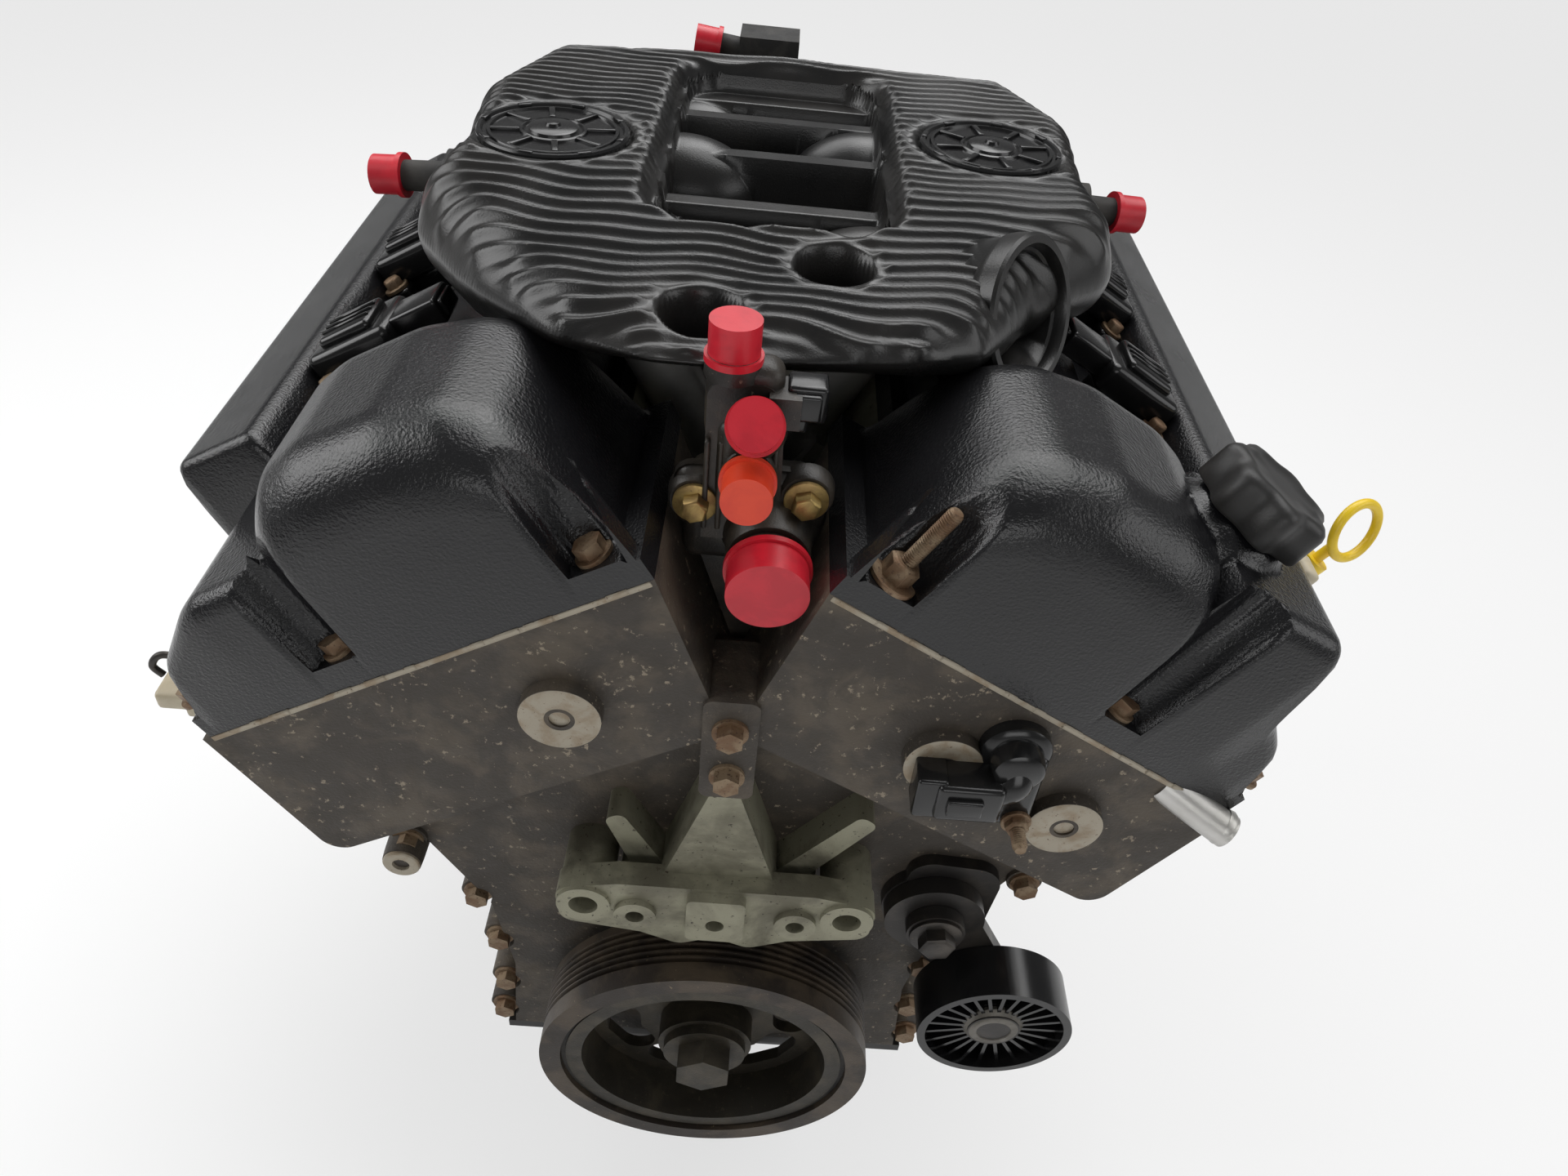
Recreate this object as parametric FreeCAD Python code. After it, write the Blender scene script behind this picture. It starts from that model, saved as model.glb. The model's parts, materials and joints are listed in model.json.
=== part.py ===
import FreeCAD, Part
import math
import os
from FreeCAD import Vector

# A sixty-degree V6 with four overhead camshafts. Millimetres, +Z up, -Y towards the front (the belt end).
# The crankshaft turns on the Y axis and its rear flange face lies at Y = 0.
# Each bank is drawn upright in its own frame (X outboard, Y along the crank, Z up the bore) and then tilted.

os.makedirs("parts", exist_ok=True)

# Banks and bores
bank_half_angle = 30.0
bore = 86.0
stroke = 78.5
bore_pitch = 97.0
bank_stagger = 24.0
first_bore = 69.0
cylinders_per_bank = 3
liner_wall = 2.5
liner_length = 108.0

# Stations along the crank, measured forward from the rear flange face
block_rear = 6.0
block_front = 345.0
case_lower_front = 412.0
case_upper_front = 440.0

# Heights up each bank, measured from the crank axis
deck_height = 206.0
gasket_thickness = 1.2
rail_height = 282.0
cam_rise = 18.0
case_step_height = 202.0

# Block
bank_inner = 62.0
bank_outer = 62.0
crankcase_half_width = 104.0
crankcase_wall = 12.0
pan_rail = -55.0
bay_radius = 88.0
bulkhead_width = 24.0

# Head
head_inner = 100.0
head_outer = 77.0
head_wall = 8.0
head_tray_depth = 14.0
rear_land = 55.0
plug_well_radius = 13.0
chamber_radius = 41.0
chamber_depth = 7.0

# Camshafts and valve gear
intake_cam = -50.0
exhaust_cam = 38.0
cam_journal_radius = 13.0
cam_core_radius = 11.0
lobe_base_radius = 15.5
lobe_lift = 8.5
lobe_nose_radius = 6.0
lobe_width = 14.0
valve_spread = 18.0
cap_width = 18.0
cap_half_span = 21.0
cap_wall = 7.0

# Crankshaft and rods
main_radius = 32.0
pin_radius = 26.5
pin_width = 21.0
web_width = 8.5
counterweight_radius = 71.0
flange_radius = 45.0
flange_depth = 16.0
flange_bolt_circle = 72.0
flange_bolt_hole = 5.0
flange_bolt_count = 8
pilot_radius = 22.0
pilot_depth = 10.0
nose_radius = 14.0
nose_end = 447.0
crank_bolt_radius = 7.0
crank_bolt_length = 34.0
shell_wall = 2.0
shell_clearance = 0.06
rod_length = 137.0
rod_width = 20.4
rod_big_radius = 37.0
rod_small_radius = 15.5
wrist_pin_radius = 10.5
crown_height = 29.5
skirt_length = 22.0
piston_clearance = 0.06

# Timing drive
chain_pitch = 9.525
crank_teeth = 17
cam_teeth = 34
pump_teeth = 16
idler_teeth = 11
chain_half_height = 4.2
chain_width = 6.0
tooth_depth = 5.0
sprocket_width = 5.0
primary_station = 388.0
secondary_station = 366.0
pump_height = 152.0

# Belt drive
damper_radius = 83.0
damper_front = 459.0
damper_depth = 35.0
groove_count = 6
groove_pitch = 3.56
groove_depth = 3.4
belt_station = 439.0
tensioner_pivot = (105.0, 95.0)
tensioner_pulley = (142.0, 41.0)
pulley_radius = 38.0
pulley_width = 26.0

# Valve covers
cover_wall = 4.0
cover_flange = 10.0
cover_front = 440.0
dome_rear = 338.0

# Running gaps
gap = 0.3
seat = 0.05
running = 0.05

crank_throw = stroke / 2
bore_radius = bore / 2
liner_radius = bore_radius + liner_wall
head_base = deck_height + gasket_thickness
cam_height = rail_height + cam_rise
tilt = math.radians(bank_half_angle)
ORIGIN = Vector(0, 0, 0)
ALONG = Vector(0, 1, 0)


# ---------- helpers ----------
def box(low_x, high_x, low_y, high_y, low_z, high_z):
    return Part.makeBox(high_x - low_x, high_y - low_y, high_z - low_z, Vector(low_x, low_y, low_z))


def rod(radius, start, end):
    axis = Vector(*end) - Vector(*start)
    return Part.makeCylinder(radius, axis.Length, Vector(*start), axis)


def tube(outer, inner, start, end):
    return rod(outer, start, end).cut(rod(inner, start, end))


def disc(radius, x, z, rear, front):
    """A round bar along the crank direction, between two stations measured forward from the rear face."""
    return rod(radius, (x, -front, z), (x, -rear, z))


def ring(outer, inner, x, z, rear, front):
    return disc(outer, x, z, rear, front).cut(disc(inner, x, z, rear, front))


def rounded_wire(corners, y):
    """A closed outline in the XZ plane at station y; each corner is (x, z) or (x, z, radius)."""
    count = len(corners)
    arcs = []
    for index, corner in enumerate(corners):
        here = Vector(corner[0], y, corner[1])
        radius = corner[2] if len(corner) > 2 else 0.0
        before = corners[index - 1]
        after = corners[(index + 1) % count]
        back = Vector(before[0], y, before[1]) - here
        ahead = Vector(after[0], y, after[1]) - here
        turn = back.getAngle(ahead)
        if radius <= 0 or turn > math.pi - 0.01:
            arcs.append((here, None, here))
            continue
        reach = radius / math.tan(turn / 2)
        reach = min(reach, 0.48 * back.Length, 0.48 * ahead.Length)
        radius = reach * math.tan(turn / 2)
        back.normalize()
        ahead.normalize()
        middle = back + ahead
        middle.normalize()
        centre = here + middle * (radius / math.sin(turn / 2))
        arcs.append((here + back * reach, centre - middle * radius, here + ahead * reach))
    edges = []
    for index, (start, mid, end) in enumerate(arcs):
        if mid is not None:
            edges.append(Part.Arc(start, mid, end).toShape())
        following = arcs[(index + 1) % count][0]
        if end.distanceToPoint(following) > 1e-6:
            edges.append(Part.LineSegment(end, following).toShape())
    return Part.Wire(edges)


def prism(corners, rear, front):
    """A solid of one XZ outline between two stations measured forward from the rear face."""
    face = Part.Face(rounded_wire(corners, -front))
    return face.extrude(Vector(0, front - rear, 0))


def shell_prism(corners, rear, front, wall):
    """The space left inside a prism when every side wall has the given thickness."""
    inner = rounded_wire(corners, -front).makeOffset2D(-wall)
    return Part.Face(inner).extrude(Vector(0, front - rear, 0))


def fuse(pieces):
    pieces = list(pieces)
    return pieces[0].multiFuse(pieces[1:]).removeSplitter() if len(pieces) > 1 else pieces[0]


def cut(body, tools):
    tools = list(tools)
    return body.cut(tools) if tools else body


def group(pieces):
    return Part.makeCompound(list(pieces))


def place(side, piece):
    """Tilt a piece drawn upright in the bank's frame: side 1 is the right bank, -1 the left."""
    tilted = piece.copy()
    tilted.rotate(ORIGIN, ALONG, bank_half_angle)
    return tilted if side > 0 else tilted.mirror(ORIGIN, Vector(1, 0, 0))


def bank_point(side, outboard, up):
    """Engine X and Z of a point given in a bank's frame."""
    x = up * math.sin(tilt) + outboard * math.cos(tilt)
    z = up * math.cos(tilt) - outboard * math.sin(tilt)
    return side * x, z


def bore_station(side, index):
    return first_bore + index * bore_pitch + (bank_stagger if side < 0 else 0.0)


def bores(side):
    return [bore_station(side, index) for index in range(cylinders_per_bank)]


def export(name, shape):
    shape.exportStep(os.path.join("parts", name + ".step"))
    nodes[name] = shape


nodes = {}
sides = {"right": 1, "left": -1}
head_rear = {side: bore_station(side, 0) - rear_land for side in (1, -1)}


def crank_bays():
    """Rear and front station of each open bay between the main bearing walls."""
    walls = main_stations()
    half = bulkhead_width / 2
    return [(walls[i] + half, walls[i + 1] - half) for i in range(len(walls) - 1)]


def main_stations():
    """Centre station of each main bearing wall."""
    rear = bore_station(1, 0) - pin_width / 2 - web_width - 4.0 - bulkhead_width / 2
    between = (bore_station(-1, 0) + bore_station(1, 1)) / 2
    stations = [rear]
    for index in range(cylinders_per_bank - 1):
        stations.append(between + index * bore_pitch)
    stations.append(bore_station(-1, cylinders_per_bank - 1) + pin_width / 2 + web_width + 4.0 + bulkhead_width / 2)
    return stations


# ---------- block ----------
def block_section():
    """Half outline of the crankcase below the banks, then mirrored."""
    knee = bank_point(1, bank_outer, deck_height * 0.45)
    return [
        (-crankcase_half_width, pan_rail), (crankcase_half_width, pan_rail),
        (crankcase_half_width - 4, 8, 20), (knee[0], knee[1], 12), (0, 175), (-knee[0], knee[1], 12),
        (-crankcase_half_width + 4, 8, 20),
    ]


def cylinder_block():
    bank = box(-bank_inner, bank_outer, -block_front, -block_rear, 60, deck_height)
    body = [prism(block_section(), block_rear, block_front)] + [place(side, bank) for side in (1, -1)]
    body.append(bell_flange())
    body += [pan_flange()]
    body += side_bosses()
    block = fuse(body)
    tools = []
    for rear, front in crank_bays():
        tools.append(disc(bay_radius, 0, 0, rear, front))
    lower = crankcase_half_width - crankcase_wall
    tools.append(box(-lower, lower, -block_front, -block_rear, pan_rail - 12, 0))
    tools.append(disc(main_radius + shell_wall, 0, 0, 0, block_front + 10))
    tools.append(valley_cut())
    for side in (1, -1):
        for station in bores(side):
            tools.append(place(side, rod(liner_radius, (0, -station, 40), (0, -station, deck_height + 5))))
    tools += bell_holes()
    tools.append(disc(seal_seat_radius, 0, 0, block_rear - 1, flange_depth + 2))
    return cut(block, tools)


def valley_cut():
    """Trough between the banks, open above."""
    floor = 132.0
    low = 8.0
    top_x, top_z = bank_point(1, -bank_inner, deck_height + 40)
    return prism([(-low, floor, 6), (low, floor, 6), (top_x, top_z), (-top_x, top_z)], 30, block_front - 14)


bell_points = [(118, 118), (112, -30), (60, 178)]
bell_hole_radius = 5.5
seal_seat_radius = 58.0
bell_thickness = 16.0


def bell_flange():
    ears = []
    for x, z in bell_points:
        for side in (1, -1):
            ears.append(disc(13, side * x, z, block_rear, block_rear + bell_thickness))
    plate = prism(
        [(-125, -30, 14), (-112, pan_rail), (112, pan_rail), (125, -30, 14), (131, 118, 14), (68, 190, 14),
         (-68, 190, 14), (-131, 118, 14)], block_rear, block_rear + bell_thickness)
    return fuse([plate] + ears)


def bell_holes():
    return [disc(bell_hole_radius, side * x, z, block_rear - 1, block_rear + bell_thickness + 1)
            for x, z in bell_points for side in (1, -1)]


def pan_flange():
    rail = crankcase_half_width + 8
    return box(-rail, rail, -block_front, -block_rear, pan_rail, pan_rail + 8)


side_mount_stations = (120.0, 240.0)


def side_bosses():
    """Round mounting bosses and core plugs on both flanks of the crankcase."""
    bosses = []
    for side in (1, -1):
        for station in side_mount_stations:
            for z in (-24.0, 20.0):
                bosses.append(rod(13, (side * 80, -station, z), (side * (crankcase_half_width + 10), -station, z)))
    return bosses


def cylinder_liners():
    return group(place(side, tube(liner_radius, bore_radius, (0, -station, deck_height - liner_length),
                                  (0, -station, deck_height)))
                 for side in (1, -1) for station in bores(side))


def main_caps():
    caps = []
    for station in main_stations():
        half = bulkhead_width / 2
        cap = prism([(-66, -14, 4), (-44, -50, 8), (44, -50, 8), (66, -14, 4), (66, 0), (-66, 0)],
                    station - half, station + half)
        caps.append(cap.cut(disc(main_radius + shell_wall, 0, 0, station - 30, station + 30)))
    return group(caps)


def main_bearings():
    half = bulkhead_width / 2 - 1
    return group(ring(main_radius + shell_wall, main_radius + shell_clearance, 0, 0, s - half, s + half)
                 for s in main_stations())


def export_bottom_end():
    export("engine_block", cylinder_block())
    export("cylinder_liners", cylinder_liners())
    export("main_bearing_caps", main_caps())
    export("main_bearing_shells", main_bearings())


# ---------- crankshaft ----------
def pin_angle(side, index):
    """Angle of a crankpin from +Z towards +X, degrees. Neighbouring pins of a pair are split by sixty degrees."""
    first = bank_half_angle + 40.0 + 120.0 * index
    return first if side > 0 else first + 60.0


def around(radius, degrees):
    angle = math.radians(degrees)
    return radius * math.sin(angle), radius * math.cos(angle)


def crank_web(angle, rear, front):
    pin_x, pin_z = around(crank_throw, angle)
    arm = fuse([disc(pin_radius + 9, 0, 0, rear, front), disc(pin_radius + 6, pin_x, pin_z, rear, front)])
    wide = counterweight_radius
    weight = prism([(-wide, -wide), (wide, -wide), (wide * 0.62, 8), (-wide * 0.62, 8)], rear, front)
    weight = weight.common(disc(wide, 0, 0, rear, front))
    weight.rotate(ORIGIN, ALONG, angle)
    return fuse([arm, weight])


def crankshaft():
    pieces = []
    mains = main_stations()
    half = bulkhead_width / 2 + 4.0
    pieces.append(disc(flange_radius, 0, 0, 0, flange_depth))
    pieces.append(disc(main_radius, 0, 0, flange_depth, mains[0] + half))
    for station in mains[1:]:
        pieces.append(disc(main_radius, 0, 0, station - half, station + half))
    pieces.append(disc(main_radius - 8, 0, 0, mains[-1], block_front - gap))
    pieces.append(disc(nose_radius, 0, 0, block_front - 10, nose_end))
    for index in range(cylinders_per_bank):
        right = bore_station(1, index)
        left = bore_station(-1, index)
        half_pin = pin_width / 2
        for side, station in ((1, right), (-1, left)):
            x, z = around(crank_throw, pin_angle(side, index))
            pieces.append(disc(pin_radius, x, z, station - half_pin, station + half_pin))
        pieces.append(crank_web(pin_angle(1, index), right - half_pin - web_width, right - half_pin))
        pieces.append(crank_web(pin_angle(-1, index), left + half_pin, left + half_pin + web_width))
        x, z = around(crank_throw * 0.87, (pin_angle(1, index) + pin_angle(-1, index)) / 2)
        pieces.append(disc(pin_radius + 20.5, x, z, right + half_pin, left - half_pin))
    shaft = fuse(pieces)
    holes = [disc(pilot_radius, 0, 0, -1, pilot_depth),
             disc(crank_bolt_radius, 0, 0, nose_end - crank_bolt_length, nose_end + 1)]
    for index in range(flange_bolt_count):
        x, z = around(flange_bolt_circle / 2, 360.0 * index / flange_bolt_count)
        holes.append(disc(flange_bolt_hole, x, z, -1, flange_depth - 2))
    return cut(shaft, holes)


def piston_height(side, index):
    """Wrist pin height up the bore for the crank at rest, and the rod's lean."""
    own = side * bank_half_angle
    phase = math.radians(side * (pin_angle(side, index) - own))
    across = crank_throw * math.sin(phase)
    up = crank_throw * math.cos(phase) + math.sqrt(rod_length ** 2 - across ** 2)
    return up, across, crank_throw * math.cos(phase)


def piston(station, pin_up):
    radius = bore_radius - piston_clearance
    bottom = pin_up - skirt_length
    top = pin_up + crown_height
    body = rod(radius, (0, -station, bottom), (0, -station, top))
    hollow = rod(radius - 6, (0, -station, bottom - 1), (0, -station, top - 9))
    bosses = rod(wrist_pin_radius + 6, (0, -station - radius + 3, pin_up), (0, -station + radius - 3, pin_up))
    slot = box(-30, 30, -station - 12, -station + 12, bottom - 1, top - 9)
    body = body.cut(hollow.cut(bosses.cut(slot)))
    grooves = [tube(radius + 1, radius - 3.4, (0, -station, top - 6.5 - n * 6), (0, -station, top - 4.7 - n * 6))
               for n in range(2)]
    grooves.append(rod(wrist_pin_radius, (0, -station - radius - 1, pin_up), (0, -station + radius + 1, pin_up)))
    return cut(body, grooves)


def piston_rings(station, pin_up):
    top = pin_up + crown_height
    return [tube(bore_radius - 0.02, bore_radius - 3.0, (0, -station, top - 6.4 - n * 6), (0, -station, top - 4.8 - n * 6))
            for n in range(2)]


def connecting_rod(station, pin_up, across, pin_level):
    lean = math.degrees(math.atan2(across, pin_up - pin_level))
    rear = station - rod_width / 2
    front = station + rod_width / 2
    beam = prism([(-14, -rod_length + 20), (14, -rod_length + 20), (9, -10), (-9, -10)], station - 7, station + 7)
    flutes = [prism([(-8, -rod_length + 46, 6), (8, -rod_length + 46, 6), (5, -26, 4), (-5, -26, 4)], a, b)
              for a, b in ((station - 8, station - 3), (station + 3, station + 8))]
    body = fuse([beam, disc(rod_small_radius, 0, 0, rear, front), disc(rod_big_radius, 0, -rod_length, rear, front)])
    ears = prism([(-rod_big_radius - 2, -rod_length - 18, 3), (rod_big_radius + 2, -rod_length - 18, 3),
                  (rod_big_radius + 2, -rod_length + 14, 3), (-rod_big_radius - 2, -rod_length + 14, 3)],
                 station - 9, station + 9)
    body = cut(fuse([body, ears]), flutes + [
        disc(wrist_pin_radius + seat, 0, 0, rear - 1, front + 1),
        disc(pin_radius + shell_wall, 0, -rod_length, rear - 1, front + 1)])
    body.rotate(ORIGIN, ALONG, -lean)
    body.translate(Vector(0, 0, pin_up))
    return body


def export_crank_train():
    pistons, rings, pins, rods, shells = [], [], [], [], []
    for side in (1, -1):
        for index, station in enumerate(bores(side)):
            pin_up, across, level = piston_height(side, index)
            pistons.append(place(side, piston(station, pin_up)))
            rings += [place(side, item) for item in piston_rings(station, pin_up)]
            half = bore_radius - 4
            pins.append(place(side, rod(wrist_pin_radius, (0, -station - half, pin_up), (0, -station + half, pin_up))))
            rods.append(place(side, connecting_rod(station, pin_up, across, level)))
            x, z = around(crank_throw, pin_angle(side, index))
            half = rod_width / 2 - 0.5
            shells.append(ring(pin_radius + shell_wall, pin_radius + shell_clearance, x, z, station - half, station + half))
    export("crankshaft", crankshaft())
    export("pistons", group(pistons))
    export("piston_rings", group(rings))
    export("wrist_pins", group(pins))
    export("connecting_rods", group(rods))
    export("rod_bearing_shells", group(shells))


# ---------- cylinder heads ----------
valve_stem_radius = 2.75
end_bearing_offset = 36.0
valve_seat_height = head_base + chamber_depth
tappet_radius = 13.0
tappet_length = 22.0
spring_outer = 10.5
spring_inner = 8.0
spring_foot = 30.0
intake_valve_radius = 15.0
exhaust_valve_radius = 13.0
valve_pair = 18.0
port_radius = 10.0
intake_port_height = 229.0
exhaust_port_height = 227.0
plug_tube_outer = 15.5
plug_tube_inner = 14.0
plug_tube_top = rail_height + 48.0
plug_thread_radius = 6.0
plug_seat_height = 236.0
tray_floor = rail_height - head_tray_depth
lobe_reach = lobe_base_radius + lobe_lift - lobe_nose_radius


def cam_bearings(side):
    """Stations of the four bearing towers of a camshaft."""
    line = bores(side)
    middle = [(line[i] + line[i + 1]) / 2 for i in range(len(line) - 1)]
    return [line[0] - end_bearing_offset] + middle + [line[-1] + end_bearing_offset]


def valve_cam(hand):
    return intake_cam if hand < 0 else exhaust_cam


def valve_reach(hand):
    """Distance from a valve's seat to the axis of its camshaft."""
    return math.hypot(valve_cam(hand) - hand * valve_spread, cam_height - valve_seat_height)


def tappet_top(hand):
    return valve_reach(hand) - lobe_base_radius - gap


def valve_line(hand, station, start, end):
    """Two points on a valve's axis, at two distances above its seat; hand is -1 for intake, 1 for exhaust."""
    seat_point = Vector(hand * valve_spread, -station, valve_seat_height)
    axis = Vector(valve_cam(hand), -station, cam_height) - seat_point
    axis.normalize()
    return [tuple(seat_point + axis * distance) for distance in (start, end)]


def valve_stations(side):
    return [station + step for station in bores(side) for step in (-valve_pair, valve_pair)]


def head_ports(side):
    """Valve pockets, ports, spring pockets and lash adjuster bores of one head."""
    tools = []
    for station in valve_stations(side):
        for hand, radius in ((-1, intake_valve_radius), (1, exhaust_valve_radius)):
            tools.append(rod(radius + 0.6, *valve_line(hand, station, -10, 5)))
            tools.append(rod(radius - 2, *valve_line(hand, station, 4, 11)))
            top = tappet_top(hand)
            tools.append(rod(valve_stem_radius + seat, *valve_line(hand, station, 0, top)))
            tools.append(rod(spring_outer + 1.5, *valve_line(hand, station, spring_foot, top)))
            tools.append(rod(tappet_radius + seat, *valve_line(hand, station, top - tappet_length - 10, top + 20)))
            start = (hand * (valve_spread + 5), -station, valve_seat_height + 9)
            end = (-head_inner - 5, -station, intake_port_height)
            if hand > 0:
                end = (head_outer + 5, -station, exhaust_port_height)
            tools.append(rod(port_radius, start, end))
    return tools


def cylinder_head(side):
    rear = head_rear[side]
    front = block_front
    body = box(-head_inner, head_outer, -front, -rear, head_base, rail_height)
    tray = box(-head_inner + head_wall, head_outer - head_wall, -front + head_wall, -rear - head_wall,
               tray_floor, rail_height + 1)
    body = body.cut(tray)
    towers = []
    for cam in (intake_cam, exhaust_cam):
        for station in cam_bearings(side):
            half = cap_width / 2
            towers.append(box(cam - cap_half_span, cam + cap_half_span, -station - half, -station + half,
                              tray_floor - 1, cam_height))
    body = fuse([body] + towers)
    tools = head_ports(side)
    for cam in (intake_cam, exhaust_cam):
        tools.append(rod(cam_journal_radius + running, (cam, -front - 1, cam_height), (cam, -rear + 1, cam_height)))
    for station in bores(side):
        tools.append(rod(chamber_radius, (0, -station, head_base - 1), (0, -station, valve_seat_height)))
        tools.append(rod(plug_well_radius, (0, -station, plug_seat_height), (0, -station, rail_height)))
        tools.append(rod(plug_tube_outer, (0, -station, tray_floor - 8), (0, -station, rail_height)))
        tools.append(rod(plug_thread_radius, (0, -station, head_base), (0, -station, plug_seat_height + 1)))
    return place(side, cut(body, tools))


def head_gaskets():
    sheets = []
    for side in (1, -1):
        sheet = box(-bank_inner, bank_outer, -block_front, -head_rear[side], deck_height, head_base)
        holes = [rod(bore_radius + 0.5, (0, -station, deck_height - 1), (0, -station, head_base + 1))
                 for station in bores(side)]
        sheets.append(place(side, cut(sheet, holes)))
    return group(sheets)


def camshaft(side, cam):
    """Four journals, two lobes to each cylinder, and a nose that carries the sprockets."""
    rear = cam_bearings(side)[0] - cap_width / 2 - 2
    nose = primary_station + sprocket_width if cam == intake_cam else secondary_station + sprocket_width
    pieces = [rod(cam_core_radius, (cam, -nose, cam_height), (cam, -rear, cam_height))]
    for station in cam_bearings(side):
        half = cap_width / 2 + 1
        pieces.append(rod(cam_journal_radius, (cam, -station - half, cam_height), (cam, -station + half, cam_height)))
    for index, station in enumerate(bores(side)):
        for step in (-valve_pair, valve_pair):
            pieces.append(lobe(cam, station + step, lobe_angle(side, cam, index)))
    return place(side, fuse(pieces))


def lobe_angle(side, cam, index):
    """Lean of a cylinder's lobes from straight up the bank, degrees, with the crank at rest."""
    return 120.0 * index + (35.0 if cam == intake_cam else 155.0) + (60.0 if side < 0 else 0.0)


def valve_lift(side, hand, index):
    """How far a cylinder's valves stand open at rest: the reach of the nose circle beyond the base circle."""
    cam = valve_cam(hand)
    down = math.degrees(math.atan2(hand * valve_spread - cam, valve_seat_height - cam_height))
    off_line = math.radians(lobe_angle(side, cam, index) - down)
    return max(0.0, lobe_reach * math.cos(off_line) + lobe_nose_radius - lobe_base_radius)


def lobe(cam, station, degrees):
    """A base circle joined to a smaller nose circle by its two outer tangents."""
    reach = lobe_reach
    half = lobe_width / 2
    tangent = math.acos((lobe_base_radius - lobe_nose_radius) / reach)
    flank = [(radius * math.cos(turn), centre + radius * math.sin(turn))
             for radius, centre, turn in ((lobe_base_radius, 0, math.pi / 2 - tangent),
                                          (lobe_nose_radius, reach, math.pi / 2 - tangent),
                                          (lobe_nose_radius, reach, math.pi / 2 + tangent),
                                          (lobe_base_radius, 0, math.pi / 2 + tangent))]
    web = prism(flank, station - half, station + half)
    shape = fuse([disc(lobe_base_radius, 0, 0, station - half, station + half),
                  disc(lobe_nose_radius, 0, reach, station - half, station + half), web])
    shape.rotate(ORIGIN, ALONG, degrees)
    shape.translate(Vector(cam, 0, cam_height))
    return shape


def cam_caps():
    caps = []
    for side in (1, -1):
        for cam in (intake_cam, exhaust_cam):
            for station in cam_bearings(side):
                top = cam_height + cam_journal_radius + cap_wall
                half = cap_width / 2
                cap = prism([(cam - cap_half_span, cam_height), (cam + cap_half_span, cam_height),
                             (cam + cap_half_span, cam_height + 9), (cam + 9, top, 6), (cam - 9, top, 6),
                             (cam - cap_half_span, cam_height + 9)], station - half, station + half)
                hole = disc(cam_journal_radius + running, cam, cam_height, station - 20, station + 20)
                caps.append(place(side, cap.cut(hole)))
    return group(caps)


def valve(side, hand, station, lift):
    radius = intake_valve_radius if hand < 0 else exhaust_valve_radius
    low, foot = valve_line(hand, station, 0.5 - lift, 2.5 - lift)
    top = valve_line(hand, station, 0, tappet_top(hand) - 3 - lift)[1]
    axis = Vector(*top) - Vector(*low)
    neck = Part.makeCone(radius, valve_stem_radius, 7.0, Vector(*foot), axis)
    return place(side, fuse([rod(radius, low, foot), neck, rod(valve_stem_radius, low, top)]))


def tappet(side, hand, station, lift):
    """An inverted cup between the cam and the valve tip; the spring reaches up inside it."""
    top = tappet_top(hand) - lift
    cup = rod(tappet_radius, *valve_line(hand, station, top - tappet_length, top))
    hollow = rod(tappet_radius - 1.5, *valve_line(hand, station, top - tappet_length - 1, top - 3 + seat))
    return place(side, cup.cut(hollow))


def valve_spring(side, hand, station, lift):
    return place(side, tube(spring_outer, spring_inner,
                            *valve_line(hand, station, spring_foot, tappet_top(hand) - 4 - lift)))


def valve_places():
    """Side, hand, station and present lift of every valve."""
    places = []
    for side in (1, -1):
        for hand in (-1, 1):
            for index, station in enumerate(bores(side)):
                for step in (-valve_pair, valve_pair):
                    places.append((side, hand, station + step, valve_lift(side, hand, index)))
    return places


def export_heads():
    for name, side in sides.items():
        export(name + "_cylinder_head", cylinder_head(side))
        export(name + "_intake_camshaft", group([camshaft(side, intake_cam)] + cam_sprockets(side, intake_cam)))
        export(name + "_exhaust_camshaft", group([camshaft(side, exhaust_cam)] + cam_sprockets(side, exhaust_cam)))
    export("head_gaskets", head_gaskets())
    export("camshaft_caps", cam_caps())
    export("valves", group(valve(*spot) for spot in valve_places()))
    export("valve_tappets", group(tappet(*spot) for spot in valve_places()))
    export("valve_springs", group(valve_spring(*spot) for spot in valve_places()))
    spots = [(side, station) for side in (1, -1) for station in bores(side)]
    export("spark_plug_tubes", group(
        place(side, tube(plug_tube_outer, plug_tube_inner, (0, -station, tray_floor - 8), (0, -station, plug_tube_top)))
        for side, station in spots))
    export("spark_plugs", group(spark_plug(*spot) for spot in spots))


def spark_plug(side, station):
    low = head_base + 2
    spot = (0, -station)
    return place(side, fuse([
        rod(plug_thread_radius - seat, (*spot, low), (*spot, plug_seat_height + 1)),
        rod(10, (*spot, plug_seat_height), (*spot, plug_seat_height + 12)),
        rod(5, (*spot, plug_seat_height + 11), (*spot, plug_seat_height + 42))]))


# ---------- valve covers ----------
def above_rail(points):
    """Outline points given as outboard position and height above the cover's rail, with any corner radius."""
    return [(point[0], rail_height + point[1], *point[2:]) for point in points]


dome_points = above_rail([(-118, 18), (-107, 58, 16), (-90, 74, 20), (-64, 84, 18), (-30, 85, 16), (-10, 81, 12),
                          (7, 55, 4), (8, 0)])
box_points_high = above_rail([(-7, 0), (-7, 82, 6), (40, 86, 8), (48, 46, 8), (67, 34, 5), (67, 0)])
box_points_low = above_rail([(-7, 0), (-7, 56, 6), (38, 55, 8), (67, 34, 5), (67, 0)])
ledge_points = above_rail([(-14, 0), (-14, 40), (18, 40, 6), (24, 76, 6), (66, 76, 8), (66, 64, 5), (56, 54, 6),
                           (68, 36, 5), (68, 0)])
spine_shoulder = (-74, 58)
spine_points = above_rail([(-92, 0), (-92, 38, 20), (*spine_shoulder, 14), (-26, 58, 14), (-14, 40, 5), (0, 40),
                           (0, 0)])
cover_rear_gap = 2.0
cover_inner_rail = -128.0
pocket_radius = 11.0
pocket_floor = rail_height + 12.0
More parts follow.
